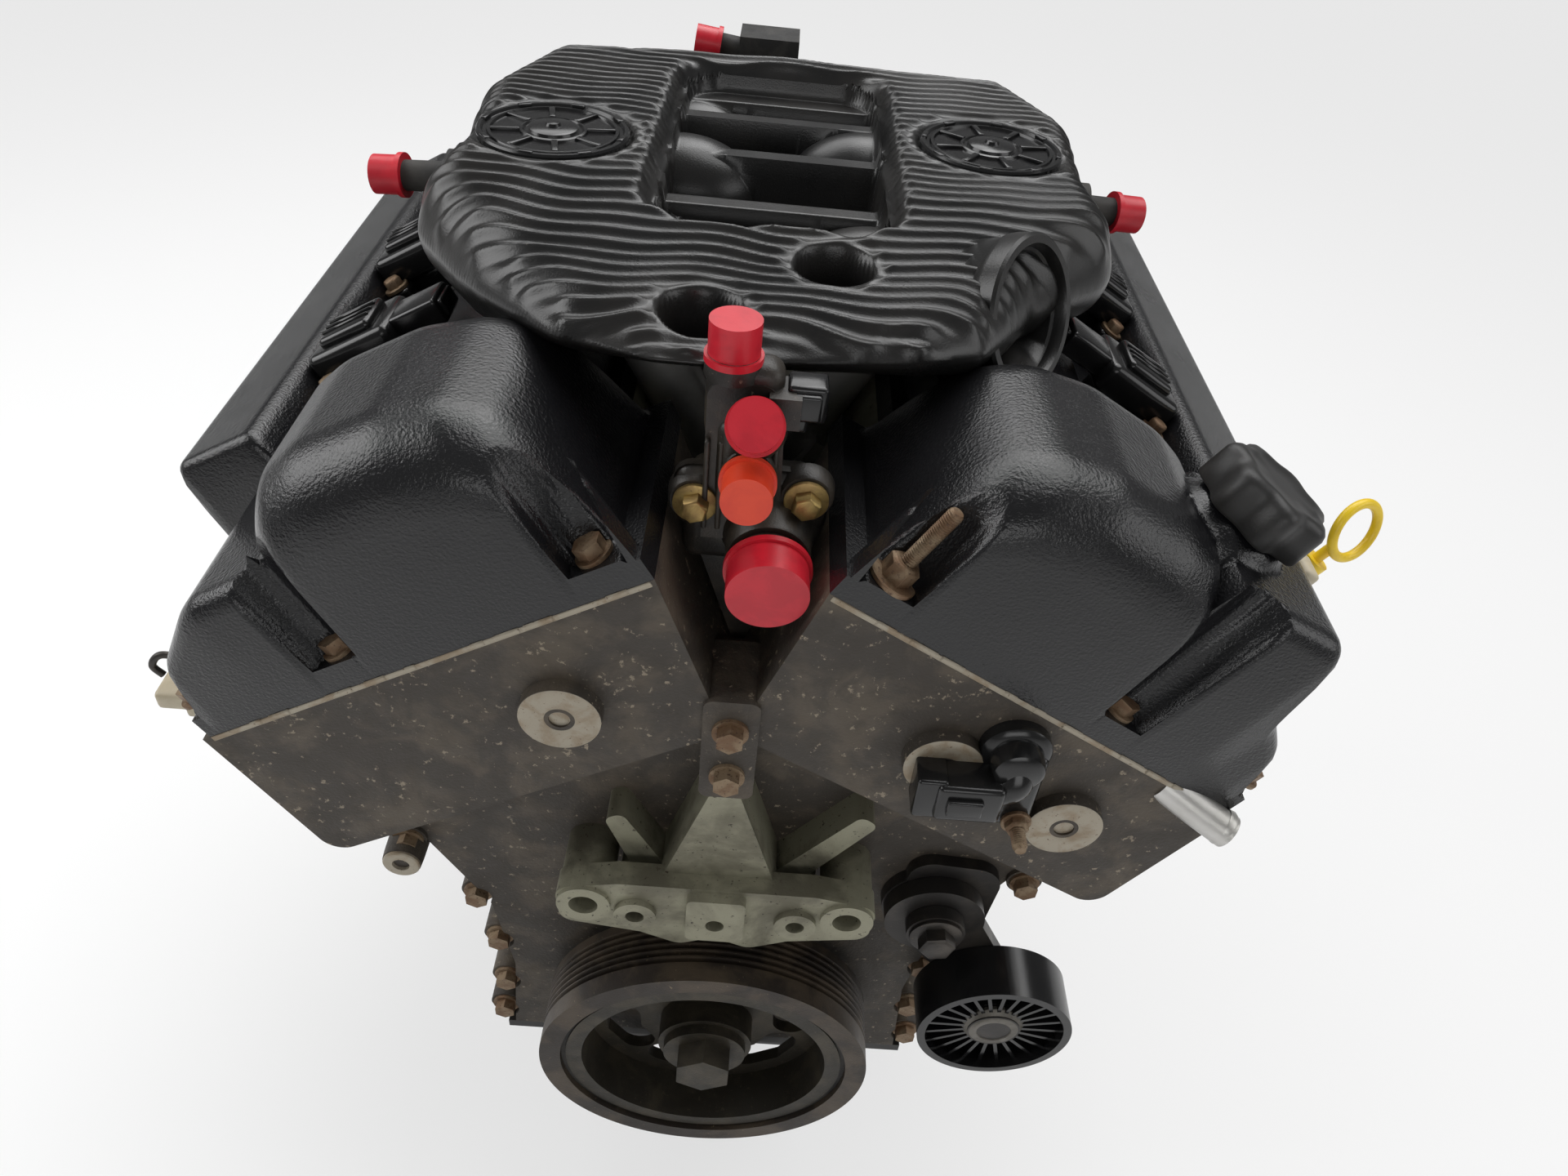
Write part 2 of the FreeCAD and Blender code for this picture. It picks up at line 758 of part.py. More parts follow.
pocket_places = [(-111, 437), (1, 441)]
screw_room = 7.7
cover_boss_radius = 7.5
filler_place = (0.0, 392.0)
filler_radius = 15.0
filler_seat = rail_height + 89.0
filler_neck = 21.0
dome_front_ease = 6.0
dome_rear_ease = 14.0
dome_rear_wall = 9.0
box_ease = 4.0


def cover_sections(side):
    """Outline and station range of each stretch of a valve cover, each closed by its own walls."""
    rear = head_rear[side] + cover_rear_gap
    step = 362.0
    front_box = box_points_high if side > 0 else box_points_low
    dome = [(-118, rail_height)] + dome_points
    return [(dome, dome_rear, cover_front, dome_rear_wall), (front_box, step, cover_front, cover_wall),
            (ledge_points, rear, step, cover_wall), (spine_points, rear, dome_rear, cover_wall)]


def ease_end(body, station, radius):
    """Round the edges of a cover's end face that stand above its flange."""
    edges = [edge for edge in body.Edges if edge.CenterOfMass.z > rail_height + 1
             and abs(edge.BoundBox.YMin + station) < 1e-3 and abs(edge.BoundBox.YMax + station) < 1e-3]
    return body.makeFillet(radius, edges)


def cover_screws(side):
    """Places of the cover's own fixing screws round its flange: outboard position and station."""
    rear = head_rear[side]
    outer = [(head_outer - 3.5, rear + step) for step in (14, 106, 206, 300)]
    inner = [(-head_inner + 2, rear + step) for step in (14, 106, 206)]
    return outer + inner + [(head_outer - 3.5, cover_front - 12), (pocket_places[0][0] + 1, cover_front - 9),
                            (pocket_places[1][0], cover_front - 9)]


def valve_cover(side):
    rear = head_rear[side] + cover_rear_gap
    flange_top = rail_height + cover_flange
    solids = [box(cover_inner_rail, head_outer - 4, -cover_front, -block_front + 8, rail_height, flange_top),
              box(-head_inner, head_outer, -block_front, -rear, rail_height, flange_top)]
    hollows = []
    for outline, start, end, rear_wall in cover_sections(side):
        solids.append(prism(outline, start, end))
        hollows.append(shell_prism(outline, start + rear_wall, end - cover_wall, cover_wall))
    solids[2] = ease_end(ease_end(solids[2], cover_front, dome_front_ease), dome_rear, dome_rear_ease)
    solids[3] = ease_end(solids[3], cover_front, box_ease)
    hollows.append(box(-112, 64, -cover_front + 8, -block_front + 9, rail_height - 1, rail_height + 26))
    hollows.append(box(-104, 44, -cover_front + 8, -block_front + 9, rail_height + 25, rail_height + 44))
    hollows.append(box(-88, 64, -block_front - 5, -rear - 8, rail_height - 1, rail_height + 35))
    chain_room = wheel_radius(idler_teeth) + chain_half_height + 2 * gap
    hollows.append(rod(chain_room, (exhaust_cam, -secondary_station - 8, cam_height),
                       (exhaust_cam, -block_front + 9, cam_height)))
    screws = cover_screws(side)
    for out, station in screws:
        solids.append(rod(cover_boss_radius, (out, -station, rail_height), (out, -station, pocket_floor)))
    posts = [rod(pocket_radius + cover_wall, (out, -station, rail_height), (out, -station, rail_height + 118))
             for out, station in pocket_places]
    tools = [hollow.cut(posts) for hollow in hollows]
    for out, station in pocket_places:
        tools.append(rod(pocket_radius, (out, -station, pocket_floor), (out, -station, rail_height + 118)))
    for out, station in screws:
        tools.append(rod(lug_hole_radius, (out, -station, rail_height), (out, -station, pocket_floor + 1)))
        tools.append(rod(screw_room, (out, -station, pocket_floor), (out, -station, pocket_floor + 12)))
    for station in bores(side):
        tools.append(rod(plug_tube_outer + 0.1, (0, -station, rail_height), (0, -station, rail_height + 63)))
    if side > 0:
        out, station = filler_place
        solids.append(rod(filler_radius + 5, (out, -station, filler_seat - filler_neck),
                          (out, -station, filler_seat)))
        tools.append(rod(filler_radius, (out, -station, filler_seat - filler_neck - 10),
                         (out, -station, filler_seat + 1)))
    return cut(fuse(solids), tools)


def export_covers():
    for name, side in sides.items():
        export(name + "_valve_cover", place(side, valve_cover(side)))


# ---------- timing drive ----------
def sprocket(teeth, x, z, station, bore_size, degrees):
    """A toothed wheel whose straight-flanked teeth stand between the chain's links."""
    tip = tip_radius(teeth)
    root = tip - tooth_depth
    corners = []
    for tooth in range(teeth):
        middle = 360.0 * tooth / teeth + degrees
        for radius, share in ((root, -0.34), (tip, -0.13), (tip, 0.13), (root, 0.34)):
            corners.append(around(radius, middle + share * 360.0 / teeth))
    half = sprocket_width / 2
    wheel = prism(corners, station - half, station + half)
    wheel = wheel.cut(disc(bore_size, 0, 0, station - 20, station + 20))
    wheel.translate(Vector(x, 0, z))
    return wheel


def chain_loop(wheels, shift):
    """Arcs and tangents of a loop round wheels given as (x, z, radius, sense), offset outwards by shift.

    The loop is followed anticlockwise seen from the rear; sense is 1 for a wheel inside it and -1 for one outside.
    """
    circles = [(x, z, sense * radius + shift) for x, z, radius, sense in wheels]
    lines = []
    for index, (x, z, radius) in enumerate(circles):
        far_x, far_z, far_radius = circles[(index + 1) % len(circles)]
        span = math.hypot(far_x - x, far_z - z)
        heading = math.atan2(far_z - z, far_x - x) + math.asin((radius - far_radius) / span)
        normal = (math.sin(heading), -math.cos(heading))
        lines.append(((x + radius * normal[0], z + radius * normal[1]),
                      (far_x + far_radius * normal[0], far_z + far_radius * normal[1]), heading))
    return circles, lines


def chain_path(wheels):
    """Straight and curved stretches of the loop as (length, function of distance giving x, z and heading)."""
    circles, lines = chain_loop(wheels, 0.0)
    stretches = []
    for index, (start, end, heading) in enumerate(lines):
        length = math.dist(start, end)
        stretches.append((length, straight_run(start, heading)))
        x, z, radius = circles[(index + 1) % len(circles)]
        turn = (lines[(index + 1) % len(lines)][2] - heading) % (2 * math.pi)
        if radius < 0:
            turn = turn - 2 * math.pi
        stretches.append((abs(turn * radius), curved_run(x, z, radius, heading)))
    return stretches


def straight_run(start, heading):
    return lambda along: (start[0] + along * math.cos(heading), start[1] + along * math.sin(heading), heading)


def curved_run(x, z, radius, heading):
    def place_on(along):
        turned = heading + along / radius
        return x + radius * math.sin(turned), z - radius * math.cos(turned), turned
    return place_on


def chain(wheels, station):
    """Separate link plates laid end to end along the loop, a whole number of pitches in all."""
    stretches = chain_path(wheels)
    total = sum(length for length, _ in stretches)
    count = round(total / chain_pitch)
    step = total / count
    links = []
    for number in range(count):
        along = number * step
        for length, run in stretches:
            if along <= length:
                x, z, heading = run(along)
                break
            along -= length
        links.append(chain_link(x, z, heading, step, station, number))
    return group(links)


def chain_link(x, z, heading, step, station, number):
    """One plate of the chain; every second plate is waisted less and stands a little wider."""
    half = step / 2 - 0.15
    tall = chain_half_height
    width = chain_width if number % 2 else chain_width - 1.6
    plate = prism([(-half, -1.0), (-half + 2, -tall + 1.2), (half - 2, -tall + 1.2), (half, -1.0), (half - 1.5, tall),
                   (-half + 1.5, tall)], station - width / 2, station + width / 2)
    plate.rotate(ORIGIN, ALONG, -math.degrees(heading))
    plate.translate(Vector(x, 0, z))
    return plate


def tip_radius(teeth):
    return chain_pitch * teeth / (2 * math.pi) + 0.5


def wheel_radius(teeth):
    """Radius of the chain's middle line, its plates just clear of the tooth tips."""
    return tip_radius(teeth) + gap + chain_half_height


def cam_centre(side, cam):
    return bank_point(side, cam, cam_height)


def primary_wheels():
    right = cam_centre(1, intake_cam)
    left = cam_centre(-1, intake_cam)
    return [(0, 0, wheel_radius(crank_teeth), 1), (*right, wheel_radius(cam_teeth), 1),
            (0, pump_height, wheel_radius(pump_teeth), -1), (*left, wheel_radius(cam_teeth), 1)]


def secondary_wheels(side):
    """Loop round the two cams of one bank, followed the same way round as the primary one."""
    near = (*cam_centre(side, intake_cam), wheel_radius(idler_teeth), 1)
    far = (*cam_centre(side, exhaust_cam), wheel_radius(idler_teeth), 1)
    return [near, far] if side > 0 else [far, near]


def export_timing():
    loops = [chain(primary_wheels(), primary_station), chain(secondary_wheels(1), secondary_station),
             chain(secondary_wheels(-1), secondary_station)]
    export("timing_chains", group(loops))
    export("crank_sprocket", sprocket(crank_teeth, 0, 0, primary_station, nose_radius, 0))
    export("water_pump_rotor", pump_rotor())
    export("water_pump_housing", pump_housing())
    export("oil_pump", oil_pump())
    export("chain_guides", chain_guides())
    export("timing_cover", timing_cover())


def cam_sprockets(side, cam):
    """The large and small sprockets on an intake camshaft, or the small one on an exhaust camshaft."""
    centre = cam_centre(side, cam)
    wheels = [sprocket(idler_teeth, *centre, secondary_station, cam_core_radius, 0)]
    if cam == intake_cam:
        large = sprocket(cam_teeth, *centre, primary_station, cam_core_radius, 4)
        for index in range(window_count):
            x, z = around(window_circle, 360.0 / window_count * index)
            large = large.cut(disc(window_radius, centre[0] + x, centre[1] + z, primary_station - 10,
                                   primary_station + 10))
        wheels.append(large)
    return wheels


window_count = 5
window_circle = 28.0
window_radius = 8.5
pump_body_radius = 36.0
pump_body_front = 374.0
impeller_radius = 29.0
pump_shaft_radius = 8.0
pump_wall = 5.0
blade_count = 6


def pump_rotor():
    """Shaft with the chain sprocket at the front and a bladed impeller at the rear."""
    rear = block_front + pump_wall
    hub = disc(13, 0, pump_height, rear + 1, rear + 14)
    plate = disc(impeller_radius, 0, pump_height, rear + 1, rear + 3.5)
    blades = []
    for index in range(blade_count):
        blade = box(10, impeller_radius - 1, -rear - 13, -rear - 3, -1.2, 1.2)
        blade.rotate(Vector(11, 0, 0), ALONG, 24)
        blade.rotate(ORIGIN, ALONG, 360.0 / blade_count * index)
        blade.translate(Vector(0, 0, pump_height))
        blades.append(blade)
    shaft = disc(pump_shaft_radius, 0, pump_height, rear + 2, primary_station + 4)
    wheel = sprocket(pump_teeth, 0, pump_height, primary_station, 2.0, 0)
    return fuse([hub, plate, shaft, wheel] + blades)


def pump_housing():
    outer = fuse([disc(pump_body_radius, 0, pump_height, block_front, pump_body_front),
                  disc(15, 0, pump_height, block_front, pump_body_front + 6)])
    cavity = disc(impeller_radius + 1.5, 0, pump_height, block_front + pump_wall, pump_body_front - pump_wall)
    shaft = disc(pump_shaft_radius + running, 0, pump_height, block_front + 2, pump_body_front + 8)
    return cut(outer, [cavity, shaft])


oil_body_radius = 50.0
oil_body_front = 370.0
oil_body_wall = 6.0
oil_cavity_radius = 42.0


def oil_pump():
    """Housing bolted to the block round the crank nose."""
    outer = disc(oil_body_radius, 0, 0, block_front, oil_body_front)
    cavity = disc(oil_cavity_radius, 0, 0, block_front + oil_body_wall, oil_body_front - oil_body_wall)
    return cut(outer, [cavity, disc(nose_radius + 1, 0, 0, block_front - 1, oil_body_front + 1)])


guide_thickness = 5.0
guide_half_width = 7.0
guide_lug_radius = 7.0


def chain_guides():
    """Two bowed rails beside the long outer runs of the primary chain, each hung on two pins from the block."""
    circles, lines = chain_loop(primary_wheels(), chain_half_height + gap)
    rails = []
    for index in (0, len(lines) - 1):
        start, end, heading = lines[index]
        length = math.dist(start, end)
        low, high = (34, length - 60) if index == 0 else (60, length - 34)
        middle = (low + high) / 2
        rail = [prism([(low, 0), (low, -guide_thickness, 2), (middle, -guide_thickness - 7, 60),
                       (high, -guide_thickness, 2), (high, 0)],
                      primary_station - guide_half_width, primary_station + guide_half_width)]
        for spot in (low + 26, high - 26):
            rail.append(disc(guide_lug_radius, spot, -guide_thickness - 3, block_front,
                             primary_station + guide_half_width))
            rail[-1] = rail[-1].cut(box(spot - 20, spot + 20, -primary_station - 20, -primary_station + 20, 0, 30))
        rail = fuse(rail)
        rail.rotate(ORIGIN, ALONG, -math.degrees(heading))
        rail.translate(Vector(start[0], 0, start[1]))
        rails.append(rail)
    return group(rails)


# ---------- timing cover ----------
case_wall = 6.0
seal_bore = 24.3
case_boss_radius = 16.0
case_boss_front = 446.0
case_bosses = [(-1, -64.0, 240.0), (1, -42.0, 240.0), (1, 22.0, 240.0)]
case_lugs = [(146, 114, 414), (119, 66, 408), (111, 28, 408), (110, -12, 408), (113, -42, 408)]
boss_thread_radius = 4.2
lug_radius = 8.5
lug_hole_radius = 3.4
tab_holes = (210.0, 236.0)


def mirrored(right_half):
    """A closed outline from the points of its right half, bottom to top, none of them on the middle line."""
    left = [(-corner[0], *corner[1:]) for corner in reversed(right_half)]
    return list(right_half) + left


def case_outline():
    outer_low = bank_point(1, head_outer, head_base)
    outer_top = bank_point(1, head_outer, rail_height)
    inner_top = bank_point(1, cover_inner_rail, rail_height)
    return mirrored([
        (crankcase_half_width + 4, pan_rail), (crankcase_half_width, 6, 20), (112, 62, 30), (142, 118, 20),
        (*outer_low, 12), outer_top, inner_top, (7, 246, 6)])


def wing_outline(side):
    """The raised upper field of the cover on one side, from the step line up to the rail."""
    low_inner = bank_point(1, -case_step_height * math.tan(tilt) + 4, case_step_height)
    low_outer = bank_point(1, head_outer, case_step_height)
    top_outer = bank_point(1, head_outer, rail_height)
    top_inner = bank_point(1, cover_inner_rail, rail_height)
    half = [(*low_inner, 4), (*low_outer, 10), top_outer, top_inner, (7, 246, 6)]
    return half if side > 0 else [(-corner[0], *corner[1:]) for corner in reversed(half)]


def timing_cover():
    body = [prism(case_outline(), block_front, case_lower_front)]
    hollows = [shell_prism(case_outline(), block_front - 1, case_lower_front - case_wall, case_wall)]
    for side in (1, -1):
        body.append(prism(wing_outline(side), case_lower_front - 1, case_upper_front))
        hollows.append(shell_prism(wing_outline(side), case_lower_front - 8, case_upper_front - case_wall, case_wall))
    for side, out, up in case_bosses:
        x, z = bank_point(side, out, up)
        body.append(disc(case_boss_radius, x, z, case_upper_front - case_wall, case_boss_front))
    body.append(disc(seal_bore + 14, 0, 0, case_lower_front - case_wall, case_lower_front + 4))
    for side in (1, -1):
        for x, z, front in case_lugs:
            body.append(disc(lug_radius, side * x, z, block_front, front))
    body.append(prism([(-11, 196, 4), (11, 196, 4), (11, 252, 4), (-11, 252, 4)], case_lower_front - 4,
                      case_upper_front + 2))
    tools = list(hollows)
    for side in (1, -1):
        open_top = box(cover_inner_rail + 14, head_outer - case_wall, -case_upper_front + case_wall, -block_front + 1,
                       rail_height - 20, rail_height + 1)
        tools.append(place(side, open_top))
    open_bottom = crankcase_half_width - 8
    tools.append(box(-open_bottom, open_bottom, -case_lower_front + case_wall, -block_front + 1,
                     pan_rail - 1, pan_rail + 20))
    tools.append(disc(seal_bore, 0, 0, case_lower_front - 20, case_lower_front + 10))
    for side, out, up in case_bosses:
        x, z = bank_point(side, out, up)
        tools.append(disc(boss_thread_radius, x, z, case_upper_front - case_wall - 1, case_boss_front + 1))
    for side in (1, -1):
        for x, z, front in case_lugs:
            tools.append(disc(lug_hole_radius, side * x, z, block_front - 1, front + 1))
            tools.append(disc(screw_room, side * x, z, front, case_upper_front))
    tools += [disc(lug_hole_radius, 0, z, case_lower_front - 20, case_upper_front + 3) for z in tab_holes]
    return cut(fuse(body), tools)


# ---------- crank damper ----------
damper_hub_radius = 24.0
damper_rim = (62.0, 70.0)
damper_rubber = 72.5
damper_rear = damper_front - damper_depth
spoke_rear = 427.0
spoke_front = 433.0
spoke_slots = 6
hub_rear = primary_station + sprocket_width


def damper_hub():
    snout = disc(damper_hub_radius, 0, 0, hub_rear, nose_end)
    web = disc(damper_rim[1], 0, 0, spoke_rear, spoke_front)
    rim = ring(damper_rim[1], damper_rim[0], 0, 0, damper_rear + 2, damper_front - 2)
    tools = [disc(nose_radius, 0, 0, hub_rear - 1, nose_end + 1)]
    for index in range(spoke_slots):
        middle = 360.0 / spoke_slots * index + 12
        ends = [around(44.0, middle - 17), around(44.0, middle + 17)]
        slot = [disc(9.0, x, z, spoke_rear - 1, spoke_front + 1) for x, z in ends]
        sector = [around(35.0, middle - 17), around(53.0, middle - 17), around(54.5, middle), around(53.0, middle + 17),
                  around(35.0, middle + 17), around(36.0, middle)]
        tools += slot + [prism(sector, spoke_rear - 1, spoke_front + 1)]
    return cut(fuse([snout, web, rim]), tools)


def damper_ring():
    """Inertia ring with the ribbed belt track on its outside."""
    body = ring(damper_radius, damper_rubber, 0, 0, damper_rear, damper_front)
    for index in range(groove_count):
        station = belt_station + (index - (groove_count - 1) / 2) * groove_pitch
        body = body.cut(groove(damper_radius, station))
    return body


def groove(radius, station):
    """A vee groove turned into a pulley of the given radius."""
    half = groove_pitch / 2 - 0.25
    wire = Part.makePolygon([Vector(radius + 1, -station - half - 0.3, 0), Vector(radius - groove_depth, -station, 0),
                             Vector(radius + 1, -station + half + 0.3, 0), Vector(radius + 1, -station - half - 0.3, 0)])
    return Part.Face(wire).revolve(ORIGIN, ALONG, 360)


def crank_bolt():
    head = prism([around(15.0, 60.0 * corner) for corner in range(6)], nose_end + 5, nose_end + 17)
    washer = disc(21.0, 0, 0, nose_end, nose_end + 5)
    return fuse([head, washer, disc(crank_bolt_radius, 0, 0, nose_end - crank_bolt_length, nose_end + 1)])


def export_damper():
    export("damper_hub", damper_hub())
    export("damper_rubber", ring(damper_rubber, damper_rim[1], 0, 0, damper_rear + 2, damper_front - 3))
    export("damper_ring", damper_ring())
    export("crank_bolt", crank_bolt())


# ---------- belt tensioner ----------
tensioner_base_front = 418.0
tensioner_spindle = 9.0
arm_rear = tensioner_base_front + gap
arm_front = 427.0
pulley_rear = arm_front + gap
pulley_front = pulley_rear + pulley_width
pulley_stud = 8.0
pulley_hub_front = pulley_front - 7.0
pulley_ribs = 24


def tensioner_base():
    x, z = tensioner_pivot
    foot = prism([(x - 22, z - 22, 10), (x + 26, z - 22, 10), (x + 30, z + 30, 14), (x - 14, z + 34, 12)],
                 case_lower_front, tensioner_base_front)
    drum = disc(25, x, z, case_lower_front, tensioner_base_front)
    return fuse([foot, drum, disc(tensioner_spindle, x, z, tensioner_base_front, arm_front + 6),
                 disc(tensioner_spindle + 5, x, z, arm_front + gap, arm_front + 7)])


def tensioner_arm():
    x, z = tensioner_pivot
    far_x, far_z = tensioner_pulley
    span = math.hypot(far_x - x, far_z - z)
    across = ((z - far_z) / span, (far_x - x) / span)
    beam = [(x + across[0] * 20, z + across[1] * 20), (far_x + across[0] * 14, far_z + across[1] * 14),
            (far_x - across[0] * 14, far_z - across[1] * 14), (x - across[0] * 20, z - across[1] * 20)]
    body = fuse([disc(24, x, z, arm_rear, arm_front), disc(15, far_x, far_z, arm_rear, arm_front),
                 prism(beam, arm_rear, arm_front), disc(pulley_stud, far_x, far_z, arm_front - 1, pulley_hub_front + 5),
                 disc(13, far_x, far_z, pulley_hub_front + gap, pulley_hub_front + 5)])
    return body.cut(disc(tensioner_spindle + running, x, z, arm_rear - 1, arm_front + 1))


def tensioner_pulley_wheel():
    x, z = tensioner_pulley
    rim = ring(pulley_radius, pulley_radius - 4, x, z, pulley_rear, pulley_front)
    web = disc(pulley_radius - 3, x, z, pulley_rear + 10, pulley_rear + 14)
    hub = disc(17, x, z, pulley_rear, pulley_hub_front)
    ribs = []
    for index in range(pulley_ribs):
        rib = box(14, pulley_radius - 3, -pulley_front + 4, -pulley_rear - 12, -0.9, 0.9)
        rib.rotate(ORIGIN, ALONG, 360.0 / pulley_ribs * index)
        rib.translate(Vector(x, 0, z))
        ribs.append(rib)
    wheel = fuse([rim, web, hub] + ribs)
    return cut(wheel, [disc(pulley_stud + running, x, z, pulley_rear - 1, pulley_front + 1),
                       disc(13.6, x, z, pulley_hub_front, pulley_front + 1)])


def export_tensioner():
    export("tensioner_base", tensioner_base())
    export("tensioner_arm", tensioner_arm())
    export("tensioner_pulley", tensioner_pulley_wheel())


# ---------- front mounting bracket ----------
bracket_rear = 434.0
bracket_front = 446.0
bracket_holes = 59.0
bracket_hole_height = 121.0
bracket_hole_radius = 6.5


def mount_bracket():
    plate = prism([(-70, 106, 8), (-34, 100, 6), (-16, 92, 8), (0, 99, 6), (16, 92, 8), (34, 100, 6), (70, 106, 8),
                   (72, 130, 8), (44, 136, 6), (-44, 136, 6), (-72, 130, 8)], bracket_rear, bracket_front)
    pieces = [plate]
    for side in (1, -1):
        pieces.append(disc(12, side * bracket_holes, bracket_hole_height, case_lower_front, bracket_front + 2))
        pieces.append(disc(9.5, side * 36, 116, case_lower_front, bracket_front + 3))
    pieces.append(prism([(-13, 104, 3), (13, 104, 3), (13, 134, 3), (-13, 134, 3)], case_lower_front, bracket_front + 5))
    pieces.append(prism([(-26, 130), (26, 130), (6, 193, 4), (-6, 193, 4)], case_lower_front, bracket_rear + 4))
    pieces.append(prism([(24, 126), (40, 126), (68, 166, 4), (60, 172, 4)], case_lower_front, bracket_rear - 6))
    pieces.append(prism([(-24, 126), (-40, 126), (-52, 158, 4), (-44, 162, 4)], case_lower_front, bracket_rear - 6))
    tools = [disc(bracket_hole_radius, side * bracket_holes, bracket_hole_height, case_lower_front - 1,
                  bracket_front + 4) for side in (1, -1)]
    tools += [disc(4.2, x, 116, bracket_rear, bracket_front + 6) for x in (-36, 0, 36)]
    return cut(fuse(pieces), tools)


# ---------- oil pan and rear seal ----------
pan_flange_thickness = 6.0
pan_wall = 3.0
pan_tray_half = 95.0
pan_tray_bottom = -88.0
pan_sump_half = 85.0
pan_sump_bottom = -185.0
pan_sump_stations = (112.0, 328.0)


def rounded_box(low_x, high_x, rear, front, low_z, high_z, radius):
    """A box between two stations with every edge rounded but those of its top."""
    body = box(low_x, high_x, -front, -rear, low_z, high_z)
    edges = [edge for edge in body.Edges if edge.CenterOfMass.z < high_z - 1e-6]
    return body.makeFillet(radius, edges)


def oil_pan():
    flange = box(-crankcase_half_width - 8, crankcase_half_width + 8, -case_lower_front, -block_rear,
                 pan_rail - pan_flange_thickness, pan_rail)
    solids = [flange]
    hollows = []
    for half, start, end, bottom, radius in (
            (pan_tray_half, block_rear + 6, case_lower_front - 7, pan_tray_bottom, 14.0),
            (pan_sump_half, *pan_sump_stations, pan_sump_bottom, 20.0)):
        solids.append(rounded_box(-half, half, start, end, bottom, pan_rail - 1, radius))
        inner = half - pan_wall
        hollows.append(rounded_box(-inner, inner, start + pan_wall, end - pan_wall, bottom + pan_wall, pan_rail + 1,
                                   radius - pan_wall))
    drain = rod(14, (0, -pan_sump_stations[0] + 6, pan_sump_bottom + 26),
                (0, -pan_sump_stations[0] - 4, pan_sump_bottom + 26))
    return cut(fuse(solids + [drain]), hollows)


def rear_seal_retainer():
    half = crankcase_half_width - crankcase_wall - seat
    plate = box(-half, half, -block_rear - 8, -block_rear, pan_rail, -seat)
    boss = disc(seal_seat_radius - seat, 0, 0, block_rear, flange_depth)
    below = box(-half, half, -flange_depth - 1, 0, pan_rail - 20, pan_rail)
    return cut(fuse([plate, boss]), [disc(flange_radius + gap, 0, 0, 0, flange_depth + 1), below])


# ---------- intake manifold ----------
manifold_outline = [(-38, 386, 14), (-20, 386, 14), (60, 366, 16), (84, 352, 14), (112, 300, 20), (155, 262, 30),
                    (150, 206, 20), (155, 140, 30), (126, 72, 26), (60, 72, 14), (0, 66, 20), (-60, 72, 14),
                    (-128, 84, 26), (-151, 160, 30), (-146, 214, 20), (-151, 276, 30), (-112, 330, 24), (-74, 372, 20)]
manifold_base = bank_point(1, spine_shoulder[0], rail_height + spine_shoulder[1])[1] + 0.55
manifold_top = manifold_base + 46.0
manifold_levels = [(manifold_base, 12.0), (manifold_base + 18, 0.0), (manifold_base + 34, 6.0), (manifold_top, 20.0)]
manifold_slope = [(262, 0.1), (322, -8), (364, -8.5), (394, -14)]
manifold_undercut = [(314, 0), (394, 30)]
manifold_wall = 4.0
manifold_room = 3.0
opening_half = 52.0
opening_stations = (104.0, 290.0)
cross_walls = (148.0, 195.0, 243.0)
manifold_wells = [(-23.0, 360.0), (26.0, 318.0)]
well_radius = 14.0
plug_places = [(-100.0, 222.0), (101.0, 190.0)]
plug_disc_radius = 34.0
plug_disc_height = 5.0
plug_spokes = 8
inlet_start = Vector(72, -282, manifold_base + 6)
inlet_end = Vector(110, -312, manifold_base + 25)
inlet_outer = 37.0
inlet_inner = 31.0
runner_radius = 15.0
runner_bore = 11.5
runner_flange = 8.0
runner_mouth = (64.0, 8.0)
runner_dome = (46.0, 19.0)


def plan_wire(corners, z, inset):
    """The rounded outline of plan points (x, station, radius) at a height, drawn in by an inset."""
    flat = rounded_wire([(x, station, radius) for x, station, radius in corners], 0)
    if inset > 0:
        flat = flat.makeOffset2D(-inset)
    flat.rotate(ORIGIN, Vector(1, 0, 0), -90)
    flat = flat.mirror(ORIGIN, Vector(0, 1, 0)) if flat.BoundBox.YMin > 0 else flat
    flat.translate(Vector(0, 0, z))
    return flat


def plenum(extra, lift):
    """Stacked outlines of the manifold, drawn in by an extra inset and trimmed by lift at both ends."""
    slabs = []
    heights = [height for height, _ in manifold_levels]
    wires = []
    for height, inset in manifold_levels:
        level = height + lift if height == heights[0] else (height - lift if height == heights[-1] else height)
        wires.append(plan_wire(manifold_outline, level, inset + extra))
    for low, high in zip(wires, wires[1:]):
        slabs.append(Part.makeLoft([low, high], True, True))
    return fuse(slabs)


def upright(radius, x, station, low, high):
    return rod(radius, (x, -station, low), (x, -station, high))


def side_prism(profile, drop):
    """A cutter across the whole width from a profile of (station, height), moved down by drop."""
    corners = [Vector(-200, -station, height - drop) for station, height in profile]
    return Part.Face(Part.makePolygon(corners + corners[:1])).extrude(Vector(400, 0, 0))


def manifold_trims(inset):
    """What the sloped top and the raised front underside take off, less a wall thickness for the hollow."""
    top = [(station, manifold_top + rise) for station, rise in manifold_slope]
    above = top + [(top[-1][0], manifold_top + 30), (top[0][0], manifold_top + 30)]
    low = [(station, manifold_base + rise) for station, rise in manifold_undercut]
    below = low + [(low[-1][0], manifold_base - 30), (low[0][0], manifold_base - 30)]
    return [side_prism(above, inset), side_prism(below, -inset)]


def cover_clearance(side, room):
    """Room the manifold leaves over a valve cover."""
    pieces = []
    for outline, rear, front in ((dome_points, dome_rear - room, cover_front + room), (spine_points, 0, dome_rear)):
        grown = rounded_wire([(-118, rail_height)] * (outline is dome_points) + list(outline), -front)
        pieces.append(place(side, Part.Face(grown.makeOffset2D(room)).extrude(Vector(0, front - rear, 0))))
    return pieces


